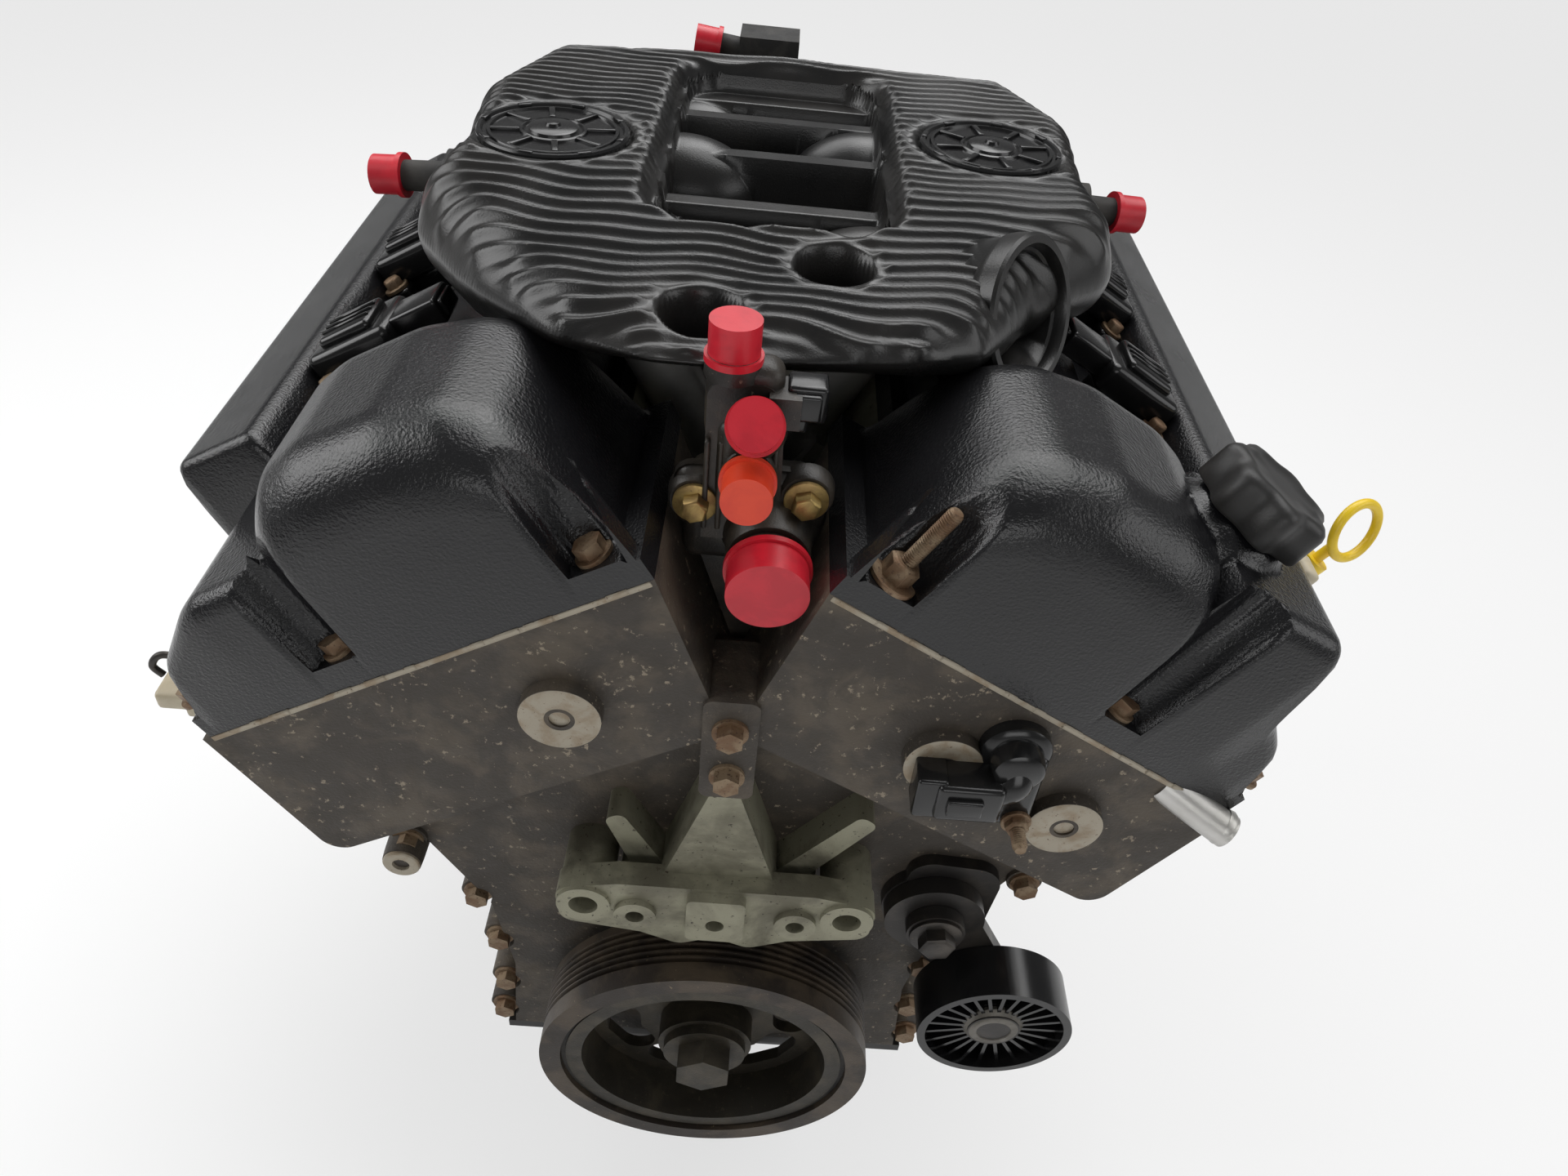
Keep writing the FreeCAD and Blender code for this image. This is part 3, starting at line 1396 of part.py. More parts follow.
def runner_domes():
    """Half-round humps over the runner ends that stand in the manifold's opening."""
    rear, front = opening_stations
    out, radius = runner_dome
    below = box(-200, 200, -block_front, 0, manifold_base - 50, manifold_base)
    humps = [Part.makeSphere(radius, Vector(side * out, -station, manifold_base)) for side in (1, -1)
             for station in bores(side) if rear < station < front]
    return [hump.cut(below) for hump in humps]


def intake_manifold():
    outer = plenum(0.0, 0.0)
    rear, front = opening_stations
    low, high = manifold_base - 32, manifold_top + 22
    opening = box(-opening_half, opening_half, -front, -rear, low, high)
    kept = [box(-opening_half - manifold_wall, opening_half + manifold_wall, -front - manifold_wall,
                -rear + manifold_wall, low, high)]
    kept += [upright(well_radius + manifold_wall, x, station, low, high) for x, station in manifold_wells]
    kept += [upright(plug_disc_radius + 1, x, station, manifold_top - 6, high) for x, station in plug_places]
    kept += manifold_trims(manifold_wall)
    for side in (1, -1):
        kept += cover_clearance(side, manifold_room + manifold_wall)
    hollow = plenum(manifold_wall, manifold_wall).cut(kept)
    axis = (inlet_end - inlet_start).normalize()
    neck = Part.makeCylinder(inlet_outer, (inlet_end - inlet_start).Length, inlet_start, axis)
    lip = Part.makeCylinder(inlet_outer + 4, 6, inlet_end - axis * 6, axis)
    body = [outer.cut(opening), neck, lip] + runner_domes()
    for station in cross_walls:
        body.append(box(-opening_half - 2, opening_half + 2, -station - 5, -station + 5, manifold_base + 8,
                        manifold_top - 10))
    body.append(box(-opening_half - 2, opening_half + 2, -rear - 16, -rear + 2, manifold_base + 4,
                    manifold_base + 20))
    tools = [hollow] + manifold_trims(0.0)
    tools += [upright(well_radius, x, station, low, high) for x, station in manifold_wells]
    tools.append(Part.makeCylinder(inlet_inner, 40, inlet_end - axis * 38, axis))
    for side in (1, -1):
        tools += cover_clearance(side, manifold_room)
        tools += [upright(runner_mouth[1], side * runner_mouth[0], station, manifold_base - 1, manifold_base + 8)
                  for station in bores(side)]
    tools += [upright(plug_disc_radius + 1, x, station, manifold_top - 1.5, high) for x, station in plug_places]
    return cut(fuse(body), tools)


def manifold_plugs():
    discs = []
    floor = manifold_top - 1.5
    for x, station in plug_places:
        body = upright(plug_disc_radius, x, station, floor, floor + plug_disc_height)
        body = body.cut(upright(plug_disc_radius - 4, x, station, floor + 2.5, floor + 20))
        spokes = [upright(11, x, station, floor, floor + 5.5)]
        for index in range(plug_spokes):
            spoke = box(8, plug_disc_radius - 2, -2, 2, floor, floor + 4)
            spoke.rotate(ORIGIN, Vector(0, 0, 1), 360.0 / plug_spokes * index)
            spoke.translate(Vector(x, -station, 0))
            spokes.append(spoke)
        discs.append(fuse([body] + spokes))
    return group(discs)


def runner_path(side):
    """Points of a runner's middle line in X and Z, from under the manifold down to the head's port."""
    port_x, port_z = bank_point(side, -head_inner, intake_port_height)
    return [(side * 66, manifold_base + 18), (side * 48, manifold_base - 16), (side * 20, 264), (port_x, port_z)]


def bent_tube(radius, path, station):
    pieces = []
    for start, end in zip(path, path[1:]):
        pieces.append(rod(radius, (start[0], -station, start[1]), (end[0], -station, end[1])))
    for x, z in path[1:-1]:
        pieces.append(Part.makeSphere(radius, Vector(x, -station, z)))
    return fuse(pieces)


def intake_runners():
    hull = fuse([plenum(0.0, 0.0)])
    runners = []
    for side in (1, -1):
        head_side = place(side, box(-head_inner, 0, -block_front, 0, head_base - 20, rail_height))
        for station in bores(side):
            path = runner_path(side)
            plate = place(side, box(-head_inner - runner_flange, -head_inner, -station - 21, -station + 21,
                                    intake_port_height - 17, intake_port_height + 17))
            body = fuse([bent_tube(runner_radius, path, station), plate])
            body = cut(body, [bent_tube(runner_bore, path[:-1] + [(path[-1][0], path[-1][1])], station), head_side,
                              hull])
            runners.append(body)
    return group(runners)


# ---------- ignition coils ----------
def ignition_coils():
    coils = []
    boot_foot = plug_seat_height + 16
    for side in (1, -1):
        for station in bores(side):
            body = fuse([box(-12, 12, -station - 11, -station + 11, plug_tube_top + 1, plug_tube_top + 23),
                         rod(12, (0, -station, boot_foot), (0, -station, plug_tube_top + 2)),
                         box(10, 19.5, -station - 8, -station + 8, plug_tube_top + 10, plug_tube_top + 21),
                         rod(15, (0, -station, plug_tube_top), (0, -station, plug_tube_top + 4))])
            hole = rod(5.5, (0, -station, boot_foot - 1), (0, -station, plug_seat_height + 44))
            coils.append(place(side, body.cut(hole)))
    return group(coils)


# ---------- coolant outlet, fittings and their caps ----------
outlet_rear = 389.5
outlet_front = 404.0
small_pipe = 7.0
large_pipe = 13.0
cap_wall_thickness = 2.0


def cap(pipe_radius, start, end):
    """A cup pushed over a pipe end: start is its open rim and end its closed face."""
    axis = Vector(*end) - Vector(*start)
    axis.normalize()
    floor = tuple(Vector(*end) - axis * cap_wall_thickness)
    outer = rod(pipe_radius + cap_wall_thickness, start, end)
    lip = rod(pipe_radius + cap_wall_thickness + 1.2, start, tuple(Vector(*start) + axis * 2.5))
    return cut(fuse([outer, lip]), [rod(pipe_radius + running, start, floor)])


pipe_ends = {
    "outlet_top_cap": (small_pipe, (-9, -397, 362), (-9, -397, 384)),
    "outlet_upper_cap": (small_pipe, (0, -400, 346), (0, -425, 364)),
    "outlet_middle_cap": (small_pipe, (-1, -398, 332), (-1, -426, 335)),
    "outlet_large_cap": (large_pipe, (8, -396, 303), (9, -434, 301)),
    "rear_elbow_cap": (small_pipe, (-24, -27, manifold_top - 12), (-50, -27, manifold_top - 9)),
    "left_fitting_cap": (small_pipe, (-138, -210, manifold_base + 17), (-186, -206, manifold_base + 13)),
    "right_fitting_cap": (small_pipe, (142, -176, manifold_base + 17), (184, -168, manifold_base + 13)),
}
cap_length = 15.0


def pipe_stub(name):
    """The pipe under a cap, hollow at its open end."""
    radius, start, end = pipe_ends[name]
    axis = Vector(*end) - Vector(*start)
    axis.normalize()
    inside = tuple(Vector(*end) - axis * 20)
    return cut(rod(radius, start, end), [rod(radius - 1.5, inside, tuple(Vector(*end) + axis))])


def pipe_cap(name):
    radius, start, end = pipe_ends[name]
    axis = Vector(*end) - Vector(*start)
    axis.normalize()
    rim = tuple(Vector(*end) - axis * (cap_length - cap_wall_thickness - gap))
    tip = tuple(Vector(*end) + axis * (cap_wall_thickness + gap))
    return cap(radius, rim, tip)


def coolant_outlet():
    leg = prism([(-2.5, 246), (2.5, 246), (20, 298, 4), (22, 322, 4), (-22, 322, 4), (-20, 298, 4)], outlet_rear - 8,
                outlet_front - 4)
    column = prism([(-17, 300), (12, 300), (10, 350, 6), (6, 366, 6), (-17, 366, 6)], outlet_rear, outlet_front)
    pieces = [leg, column, disc(large_pipe + 3, 8, 303, outlet_rear, outlet_front)]
    pieces += [pipe_stub(name) for name in pipe_ends if name.startswith("outlet")]
    pieces.append(box(4, 15, -outlet_front - 4, -outlet_rear - 3, 352, 364))
    return fuse(pieces)


def hose_fittings():
    """Elbow behind the manifold and a hose stub on each of its flanks."""
    hull = plenum(0.0, 0.0)
    elbow = fuse([box(-26, 8, -44, -16, manifold_top - 24, manifold_top),
                  box(-20, 4, -78, -40, manifold_top - 26, manifold_top - 10), pipe_stub("rear_elbow_cap")])
    stubs = [elbow] + [fuse([pipe_stub(name), rod(small_pipe + 5, pipe_ends[name][1],
                                                  (pipe_ends[name][1][0] * 1.1, *pipe_ends[name][1][1:]))])
                       for name in ("left_fitting_cap", "right_fitting_cap")]
    return group([stub.cut(hull) for stub in stubs])


def oil_filler_cap():
    """Six-lobed cap with a plug that turns in the neck of the right valve cover."""
    out, station = filler_place
    top = filler_seat + gap
    pieces = [rod(filler_radius - running, (out, -station, filler_seat - 12), (out, -station, top + 1)),
              rod(21, (out, -station, top), (out, -station, top + 8)),
              rod(17, (out, -station, top + 8), (out, -station, top + 16))]
    for index in range(6):
        x, y = around(19.5, 60.0 * index)
        pieces.append(rod(5, (out + x, -station + y, top), (out + x, -station + y, top + 14)))
    return place(1, fuse(pieces))


# ---------- dipstick ----------
dipstick_outboard = 88.0
dipstick_top = (rail_height + 62.0, 338.0)
dipstick_bend = (190.0, 332.0)
dipstick_foot = (60.0, 326.0, 150.0)
dipstick_tube_radius = 5.0
dipstick_bore = 3.6
dipstick_radius = 2.0


def dipstick_points():
    """Top, bend and foot of the tube in the right bank's frame."""
    return (Vector(dipstick_outboard, -dipstick_top[1], dipstick_top[0]),
            Vector(dipstick_outboard, -dipstick_bend[1], dipstick_bend[0]),
            Vector(dipstick_foot[0], -dipstick_foot[1], dipstick_foot[2]))


def dipstick_tube():
    top, bend, foot = dipstick_points()
    pieces = [rod(dipstick_tube_radius, tuple(top), tuple(bend)), rod(dipstick_tube_radius, tuple(bend), tuple(foot)),
              Part.makeSphere(dipstick_tube_radius, bend)]
    inside = box(0, bank_outer, -block_front, 0, 60, deck_height)
    strap = box(head_outer, dipstick_outboard - 2, -337, -332, rail_height - 32, rail_height - 20)
    tube_shape = cut(fuse(pieces + [strap]), [rod(dipstick_bore, tuple(top), tuple(bend)), inside])
    return place(1, tube_shape)


def dipstick():
    top, bend, foot = dipstick_points()
    axis = top - bend
    axis.normalize()
    pieces = [rod(dipstick_radius, tuple(bend + axis * 20), tuple(top + axis * 4)),
              rod(6.5, tuple(top + axis * gap), tuple(top + axis * 12)),
              rod(2.5, tuple(top + axis * 11), tuple(top + axis * 20)),
              Part.makeTorus(13, 2.2, top + axis * 32, Vector(0.25, -0.8, 0.35))]
    return place(1, fuse(pieces))


# ---------- screws and sensors ----------
def hex_screw():
    """Flanged hexagon screw standing on Z = 0 with its shank below."""
    head = [around(5.8, 60.0 * corner) for corner in range(6)]
    wire = Part.makePolygon([Vector(x, y, 1.5) for x, y in head + head[:1]])
    pieces = [Part.Face(wire).extrude(Vector(0, 0, 5)), rod(7.2, (0, 0, 0), (0, 0, 1.5)),
              rod(lug_hole_radius - seat, (0, 0, -9), (0, 0, 0.5))]
    return fuse(pieces)


def flange_screws():
    screws = []
    for side in (1, -1):
        for out, station in cover_screws(side):
            item = hex_screw()
            item.translate(Vector(out, -station, pocket_floor))
            screws.append(place(side, item))
        for x, z, front in case_lugs:
            item = hex_screw()
            item.rotate(ORIGIN, Vector(1, 0, 0), 90)
            item.translate(Vector(side * x, -front, z))
            screws.append(item)
    for z in tab_holes:
        item = hex_screw()
        item.rotate(ORIGIN, Vector(1, 0, 0), 90)
        item.translate(Vector(0, -case_upper_front - 2, z))
        screws.append(item)
    return group(screws)


cam_sensor_place = (110.0, 212.0)


def cam_sensor():
    x, z = cam_sensor_place
    body = prism([(x - 9, z - 9, 5), (x + 9, z - 9, 5), (x + 9, z + 9, 5), (x - 9, z + 9, 5)], case_upper_front,
                 case_upper_front + 8)
    return fuse([body, disc(7.5, x, z, case_upper_front + 8, case_upper_front + 20)])


def export_outside():
    export("mount_bracket", mount_bracket())
    export("oil_pan", oil_pan())
    export("rear_seal_retainer", rear_seal_retainer())
    export("intake_manifold", intake_manifold())
    export("manifold_plugs", manifold_plugs())
    export("intake_runners", intake_runners())
    export("ignition_coils", ignition_coils())
    export("coolant_outlet", coolant_outlet())
    export("hose_fittings", hose_fittings())
    for name in pipe_ends:
        export(name, pipe_cap(name))
    export("oil_filler_cap", oil_filler_cap())
    export("dipstick_tube", dipstick_tube())
    export("dipstick", dipstick())
    export("flange_screws", flange_screws())
    export("cam_sensor", cam_sensor())


def run_all():
    export_bottom_end()
    export_crank_train()
    export_heads()
    export_covers()
    export_timing()
    export_damper()
    export_tensioner()
    export_outside()


run_all()
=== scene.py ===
import math

import bpy
import bmesh
import numpy as np
from mathutils import Matrix, Vector
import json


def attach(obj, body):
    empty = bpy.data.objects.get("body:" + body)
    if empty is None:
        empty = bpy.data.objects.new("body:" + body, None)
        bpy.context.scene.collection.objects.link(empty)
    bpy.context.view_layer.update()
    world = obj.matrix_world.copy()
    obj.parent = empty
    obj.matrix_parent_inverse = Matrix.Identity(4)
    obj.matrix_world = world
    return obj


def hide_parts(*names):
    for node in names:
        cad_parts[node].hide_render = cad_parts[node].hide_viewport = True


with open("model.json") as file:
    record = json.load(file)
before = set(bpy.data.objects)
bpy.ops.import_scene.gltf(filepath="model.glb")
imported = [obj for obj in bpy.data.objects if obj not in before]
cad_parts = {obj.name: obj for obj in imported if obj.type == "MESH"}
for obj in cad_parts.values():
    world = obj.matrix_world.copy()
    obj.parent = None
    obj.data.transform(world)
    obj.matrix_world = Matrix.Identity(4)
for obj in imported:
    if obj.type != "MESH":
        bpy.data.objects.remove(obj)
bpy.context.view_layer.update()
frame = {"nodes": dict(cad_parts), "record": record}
mm = 0.001
print("frame loaded:", len(frame["nodes"]), "nodes")

# Camera: in front of the belt end, looking down on the engine
camera = {"place": (-0.0007, -0.732, 0.5606), "pitch": 40.7, "yaw": 2.94, "roll": 6.54,
          "lens": 25.79}


def makeCamera(settings):
    pitch, yaw, roll = (math.radians(settings[key]) for key in ("pitch", "yaw", "roll"))
    forward = Vector((math.sin(yaw) * math.cos(pitch), math.cos(yaw) * math.cos(pitch),
                      -math.sin(pitch)))
    level = Vector((math.cos(yaw), -math.sin(yaw), 0))
    upright = level.cross(forward)
    right = level * math.cos(roll) + upright * math.sin(roll)
    up = upright * math.cos(roll) - level * math.sin(roll)
    data = bpy.data.cameras.new("camera")
    data.sensor_width = 36.0
    data.lens = settings["lens"]
    data.clip_start = 0.01
    eye = bpy.data.objects.new("camera", data)
    bpy.context.scene.collection.objects.link(eye)
    axes = Matrix((right, up, -forward)).transposed().to_4x4()
    eye.matrix_world = Matrix.Translation(settings["place"]) @ axes
    bpy.context.scene.camera = eye


makeCamera(camera)

# Softboxes round the engine, a wide soft sun, and a pale floor under a pale sky
lamps = {
    "overhead": {"place": (-0.25, 0.55, 1.35), "aim": (0, -0.2, 0.2), "size": (1.3, 0.8),
                 "power": 10.0},
    "window": {"place": (-1.25, -0.35, 0.95), "aim": (0, -0.3, 0.15), "size": (0.9, 0.9),
               "power": 10.0},
    "fill": {"place": (1.25, -0.7, 0.8), "aim": (0, -0.3, 0.1), "size": (0.9, 0.7), "power": 3.5},
    "front": {"place": (0.1, -1.9, 0.75), "aim": (0, -0.4, 0.05), "size": (1.2, 0.6), "power": 4.5},
}


def makeLamps(settings):
    for name, lamp in settings.items():
        data = bpy.data.lights.new(name, "AREA")
        data.shape = "RECTANGLE"
        data.size, data.size_y = lamp["size"]
        data.energy = lamp["power"]
        holder = bpy.data.objects.new(name, data)
        holder.location = lamp["place"]
        aim = Vector(lamp["aim"]) - Vector(lamp["place"])
        holder.rotation_mode = "QUATERNION"
        holder.rotation_quaternion = aim.to_track_quat("-Z", "Y")
        bpy.context.scene.collection.objects.link(holder)


makeLamps(lamps)
sun = {"aim": (-0.35, -0.40, -1.0), "strength": 1.7, "spread": 50.0}


def makeSun(settings):
    data = bpy.data.lights.new("sky", "SUN")
    data.energy = settings["strength"]
    data.angle = math.radians(settings["spread"])
    holder = bpy.data.objects.new("sky", data)
    holder.rotation_mode = "QUATERNION"
    holder.rotation_quaternion = Vector(settings["aim"]).to_track_quat("-Z", "Y")
    bpy.context.scene.collection.objects.link(holder)


makeSun(sun)
studio = {"floorHeight": -0.1852, "floorColor": (0.82, 0.82, 0.82), "floorRough": 0.9,
          "floorShine": 0.1, "floorGlow": 0.58, "reach": 6.0, "ambient": 0.16, "backdrop": 1.0}


def makeStudio(settings):
    scene = bpy.context.scene
    scene.view_settings.view_transform = "Standard"
    world = bpy.data.worlds.new("studio")
    scene.world = world
    world.use_nodes = True
    tree = world.node_tree
    tree.nodes.clear()
    ambient = tree.nodes.new("ShaderNodeBackground")
    ambient.inputs["Strength"].default_value = settings["ambient"]
    ambient.inputs["Color"].default_value = (1, 1, 1, 1)
    seen = tree.nodes.new("ShaderNodeBackground")
    seen.inputs["Strength"].default_value = settings["backdrop"]
    seen.inputs["Color"].default_value = (1, 1, 1, 1)
    path = tree.nodes.new("ShaderNodeLightPath")
    mix = tree.nodes.new("ShaderNodeMixShader")
    output = tree.nodes.new("ShaderNodeOutputWorld")
    tree.links.new(path.outputs["Is Camera Ray"], mix.inputs[0])
    tree.links.new(ambient.outputs[0], mix.inputs[1])
    tree.links.new(seen.outputs[0], mix.inputs[2])
    tree.links.new(mix.outputs[0], output.inputs["Surface"])
    ground = bpy.data.meshes.new("floor")
    half, low = settings["reach"], settings["floorHeight"]
    corners = [(-half, -half, low), (half, -half, low), (half, half, low), (-half, half, low)]
    ground.from_pydata(corners, [], [(0, 1, 2, 3)])
    floor = bpy.data.objects.new("floor", ground)
    scene.collection.objects.link(floor)
    paint = bpy.data.materials.new("floorPaint")
    paint.use_nodes = True
    tree = paint.node_tree
    shader = tree.nodes["Principled BSDF"]
    shader.inputs["Base Color"].default_value = (*settings["floorColor"], 1)
    shader.inputs["Roughness"].default_value = settings["floorRough"]
    shader.inputs["Specular IOR Level"].default_value = settings["floorShine"]
    glow = tree.nodes.new("ShaderNodeEmission")
    glow.inputs["Strength"].default_value = settings["backdrop"]
    seenBy = tree.nodes.new("ShaderNodeLightPath")
    share = tree.nodes.new("ShaderNodeMath")
    share.operation = "MULTIPLY"
    share.inputs[1].default_value = settings["floorGlow"]
    both = tree.nodes.new("ShaderNodeMixShader")
    tree.links.new(seenBy.outputs["Is Camera Ray"], share.inputs[0])
    tree.links.new(share.outputs[0], both.inputs[0])
    tree.links.new(shader.outputs[0], both.inputs[1])
    tree.links.new(glow.outputs[0], both.inputs[2])
    tree.links.new(both.outputs[0], tree.nodes["Material Output"].inputs["Surface"])
    ground.materials.append(paint)


makeStudio(studio)
print("camera, lamps and floor ready")

# Finishes: a base colour broken up by patches, specks and a fine grain
# (colour, fineness, level where it starts) for patches and specks, (fineness, depth) for the grain
finishes = {
    "castDark": {"base": (0.042, 0.034, 0.026), "patch": ((0.088, 0.070, 0.050), 34, 0.53),
                 "speck": ((0.26, 0.215, 0.155), 260, 0.66), "rough": 0.62,
                 "metal": 0.0, "grain": (700, 0.8)},
    "castIron": {"base": (0.075, 0.067, 0.058), "patch": ((0.15, 0.13, 0.10), 18, 0.5),
                 "speck": ((0.22, 0.13, 0.07), 300, 0.68), "rough": 0.66,
                 "metal": 0.2, "grain": (800, 0.5)},
    "castAlloy": {"base": (0.30, 0.29, 0.21), "patch": ((0.15, 0.14, 0.10), 26, 0.55),
                  "speck": ((0.06, 0.05, 0.035), 350, 0.66), "rough": 0.55,
                  "metal": 0.35, "grain": (1100, 0.35)},
    "brightAlloy": {"base": (0.62, 0.61, 0.59), "patch": ((0.50, 0.49, 0.46), 20, 0.55),
                    "speck": ((0.40, 0.38, 0.34), 500, 0.72), "rough": 0.40,
                    "metal": 0.8, "grain": (1600, 0.15)},
    "steel": {"base": (0.33, 0.32, 0.30), "patch": ((0.24, 0.22, 0.20), 24, 0.55),
              "speck": ((0.30, 0.24, 0.18), 400, 0.74), "rough": 0.33,
              "metal": 0.95, "grain": (1800, 0.12)},
    "darkSteel": {"base": (0.045, 0.042, 0.040), "patch": ((0.085, 0.075, 0.065), 30, 0.56),
                  "speck": ((0.24, 0.15, 0.09), 380, 0.72), "rough": 0.42,
                  "metal": 0.7, "grain": (1400, 0.2)},
    "shellMetal": {"base": (0.58, 0.55, 0.48), "patch": ((0.50, 0.46, 0.38), 40, 0.5),
                   "speck": ((0.36, 0.32, 0.26), 600, 0.75), "rough": 0.35,
                   "metal": 0.9, "grain": (1800, 0.1)},
    "crackle": {"base": (0.006, 0.006, 0.007), "patch": ((0.010, 0.010, 0.011), 9, 0.5),
                "speck": ((0.06, 0.058, 0.05), 160, 0.78), "rough": 0.25,
                "metal": 0.0, "grain": (780, 0.75)},
    "ribbedBlack": {"base": (0.008, 0.008, 0.008), "patch": ((0.016, 0.015, 0.014), 14, 0.5),
                    "speck": ((0.10, 0.09, 0.075), 240, 0.76), "rough": 0.30,
                    "metal": 0.0, "grain": (1300, 0.2)},
    "glossBlack": {"base": (0.006, 0.006, 0.0065), "patch": ((0.011, 0.011, 0.011), 20, 0.5),
                   "speck": ((0.07, 0.065, 0.055), 260, 0.78), "rough": 0.20,
                   "metal": 0.0, "grain": (1600, 0.06)},
    "rubber": {"base": (0.010, 0.0095, 0.009), "patch": ((0.035, 0.032, 0.028), 30, 0.5),
               "speck": ((0.09, 0.08, 0.06), 300, 0.75), "rough": 0.7,
               "metal": 0.0, "grain": (1300, 0.2)},
    "damperIron": {"base": (0.030, 0.023, 0.018), "patch": ((0.075, 0.056, 0.038), 34, 0.52),
                   "speck": ((0.24, 0.18, 0.11), 420, 0.70), "rough": 0.45,
                   "metal": 0.45, "grain": (1400, 0.25)},
    "hubIron": {"base": (0.030, 0.026, 0.019), "patch": ((0.060, 0.050, 0.034), 40, 0.53),
                "speck": ((0.07, 0.055, 0.04), 350, 0.66), "rough": 0.5,
                "metal": 0.4, "grain": (1200, 0.3)},
    "rustyScrew": {"base": (0.17, 0.10, 0.055), "patch": ((0.26, 0.19, 0.12), 90, 0.5),
                   "speck": ((0.10, 0.06, 0.04), 700, 0.62), "rough": 0.55,
                   "metal": 0.5, "grain": (2200, 0.25)},
    "paintBlack": {"base": (0.014, 0.0135, 0.013), "patch": ((0.028, 0.025, 0.022), 12, 0.52),
                   "speck": ((0.16, 0.10, 0.06), 260, 0.74), "rough": 0.45,
                   "metal": 0.0, "grain": (900, 0.15)},
    "capRed": {"base": (0.60, 0.014, 0.030), "patch": ((0.50, 0.010, 0.024), 60, 0.5),
               "speck": ((0.30, 0.03, 0.03), 500, 0.76), "rough": 0.38,
               "metal": 0.0, "grain": (1500, 0.06)},
    "capOrange": {"base": (0.80, 0.065, 0.022), "patch": ((0.72, 0.05, 0.02), 60, 0.5),
                  "speck": ((0.5, 0.08, 0.04), 500, 0.78), "rough": 0.36,
                  "metal": 0.0, "grain": (1500, 0.06)},
    "handleYellow": {"base": (0.86, 0.60, 0.02), "patch": ((0.74, 0.50, 0.02), 60, 0.5),
                     "speck": ((0.3, 0.2, 0.03), 500, 0.76), "rough": 0.34,
                     "metal": 0.0, "grain": (1500, 0.06)},
    "nylon": {"base": (0.52, 0.46, 0.34), "patch": ((0.42, 0.36, 0.25), 30, 0.5),
              "speck": ((0.2, 0.15, 0.1), 500, 0.72), "rough": 0.5,
              "metal": 0.0, "grain": (1300, 0.1)},
    "gasketGrey": {"base": (0.09, 0.09, 0.09), "patch": ((0.13, 0.12, 0.11), 40, 0.5),
                   "speck": ((0.2, 0.19, 0.17), 500, 0.74), "rough": 0.6,
                   "metal": 0.0, "grain": (1500, 0.1)},
    "grimyBlack": {"base": (0.016, 0.014, 0.012), "patch": ((0.042, 0.034, 0.025), 40, 0.52),
                   "speck": ((0.14, 0.11, 0.08), 420, 0.70), "rough": 0.42,
                   "metal": 0.0, "grain": (1300, 0.3)},
    "goldScrew": {"base": (0.46, 0.33, 0.12), "patch": ((0.30, 0.20, 0.08), 120, 0.5),
                  "speck": ((0.14, 0.09, 0.04), 700, 0.68), "rough": 0.40,
                  "metal": 0.75, "grain": (2000, 0.15)},
    "machinedTan": {"base": (0.36, 0.32, 0.25), "patch": ((0.27, 0.21, 0.14), 90, 0.54),
                    "speck": ((0.13, 0.08, 0.05), 520, 0.66), "rough": 0.5,
                    "metal": 0.3, "grain": (2000, 0.2)},
    "wornGrey": {"base": (0.16, 0.15, 0.13), "patch": ((0.10, 0.09, 0.075), 80, 0.5),
                 "speck": ((0.26, 0.23, 0.18), 500, 0.70), "rough": 0.45,
                 "metal": 0.4, "grain": (1800, 0.15)},
}
edgeWidths = {"patch": (0.10, 0.12), "speck": (0.05, 0.03), "rough": (0.72, 1.28)}


class Shading:
    # a small wrapper that keeps node building short
    def __init__(self, name):
        self.material = bpy.data.materials.new(name)
        self.material.use_nodes = True
        self.tree = self.material.node_tree
        self.shader = self.tree.nodes["Principled BSDF"]
        self.place = self.add("ShaderNodeTexCoord").outputs["Object"]

    def add(self, kind, **settings):
        node = self.tree.nodes.new(kind)
        for key, value in settings.items():
            setattr(node, key, value)
        return node

    def join(self, source, target):
        self.tree.links.new(source, target)

    def noise(self, scale, detail, roughness, warp=0.0):
        node = self.add("ShaderNodeTexNoise")
        node.inputs["Scale"].default_value = scale
        node.inputs["Detail"].default_value = detail
        node.inputs["Roughness"].default_value = roughness
        node.inputs["Distortion"].default_value = warp
        self.join(self.place, node.inputs["Vector"])
        return node.outputs["Fac"]

    def ramp(self, value, low, high):
        node = self.add("ShaderNodeMapRange", interpolation_type="SMOOTHSTEP")
        node.inputs["From Min"].default_value = low
        node.inputs["From Max"].default_value = high
        self.join(value, node.inputs["Value"])
        return node.outputs["Result"]

    def blend(self, factor, first, second):
        node = self.add("ShaderNodeMix", data_type="RGBA")
        self.join(factor, node.inputs["Factor"])
        for socket, value in ((node.inputs[6], first), (node.inputs[7], second)):
            if isinstance(value, tuple):
                socket.default_value = (*value, 1)
            else:
                self.join(value, socket)
        return node.outputs[2]

    def spread(self, factor, low, high):
        node = self.add("ShaderNodeMapRange")
        node.inputs["To Min"].default_value = low
        node.inputs["To Max"].default_value = high
        self.join(factor, node.inputs["Value"])
        return node.outputs["Result"]

    def bump(self, height, distance, strength):
        node = self.add("ShaderNodeBump")
        node.inputs["Distance"].default_value = distance
        node.inputs["Strength"].default_value = strength
        self.join(height, node.inputs["Height"])
        return node.outputs["Normal"]


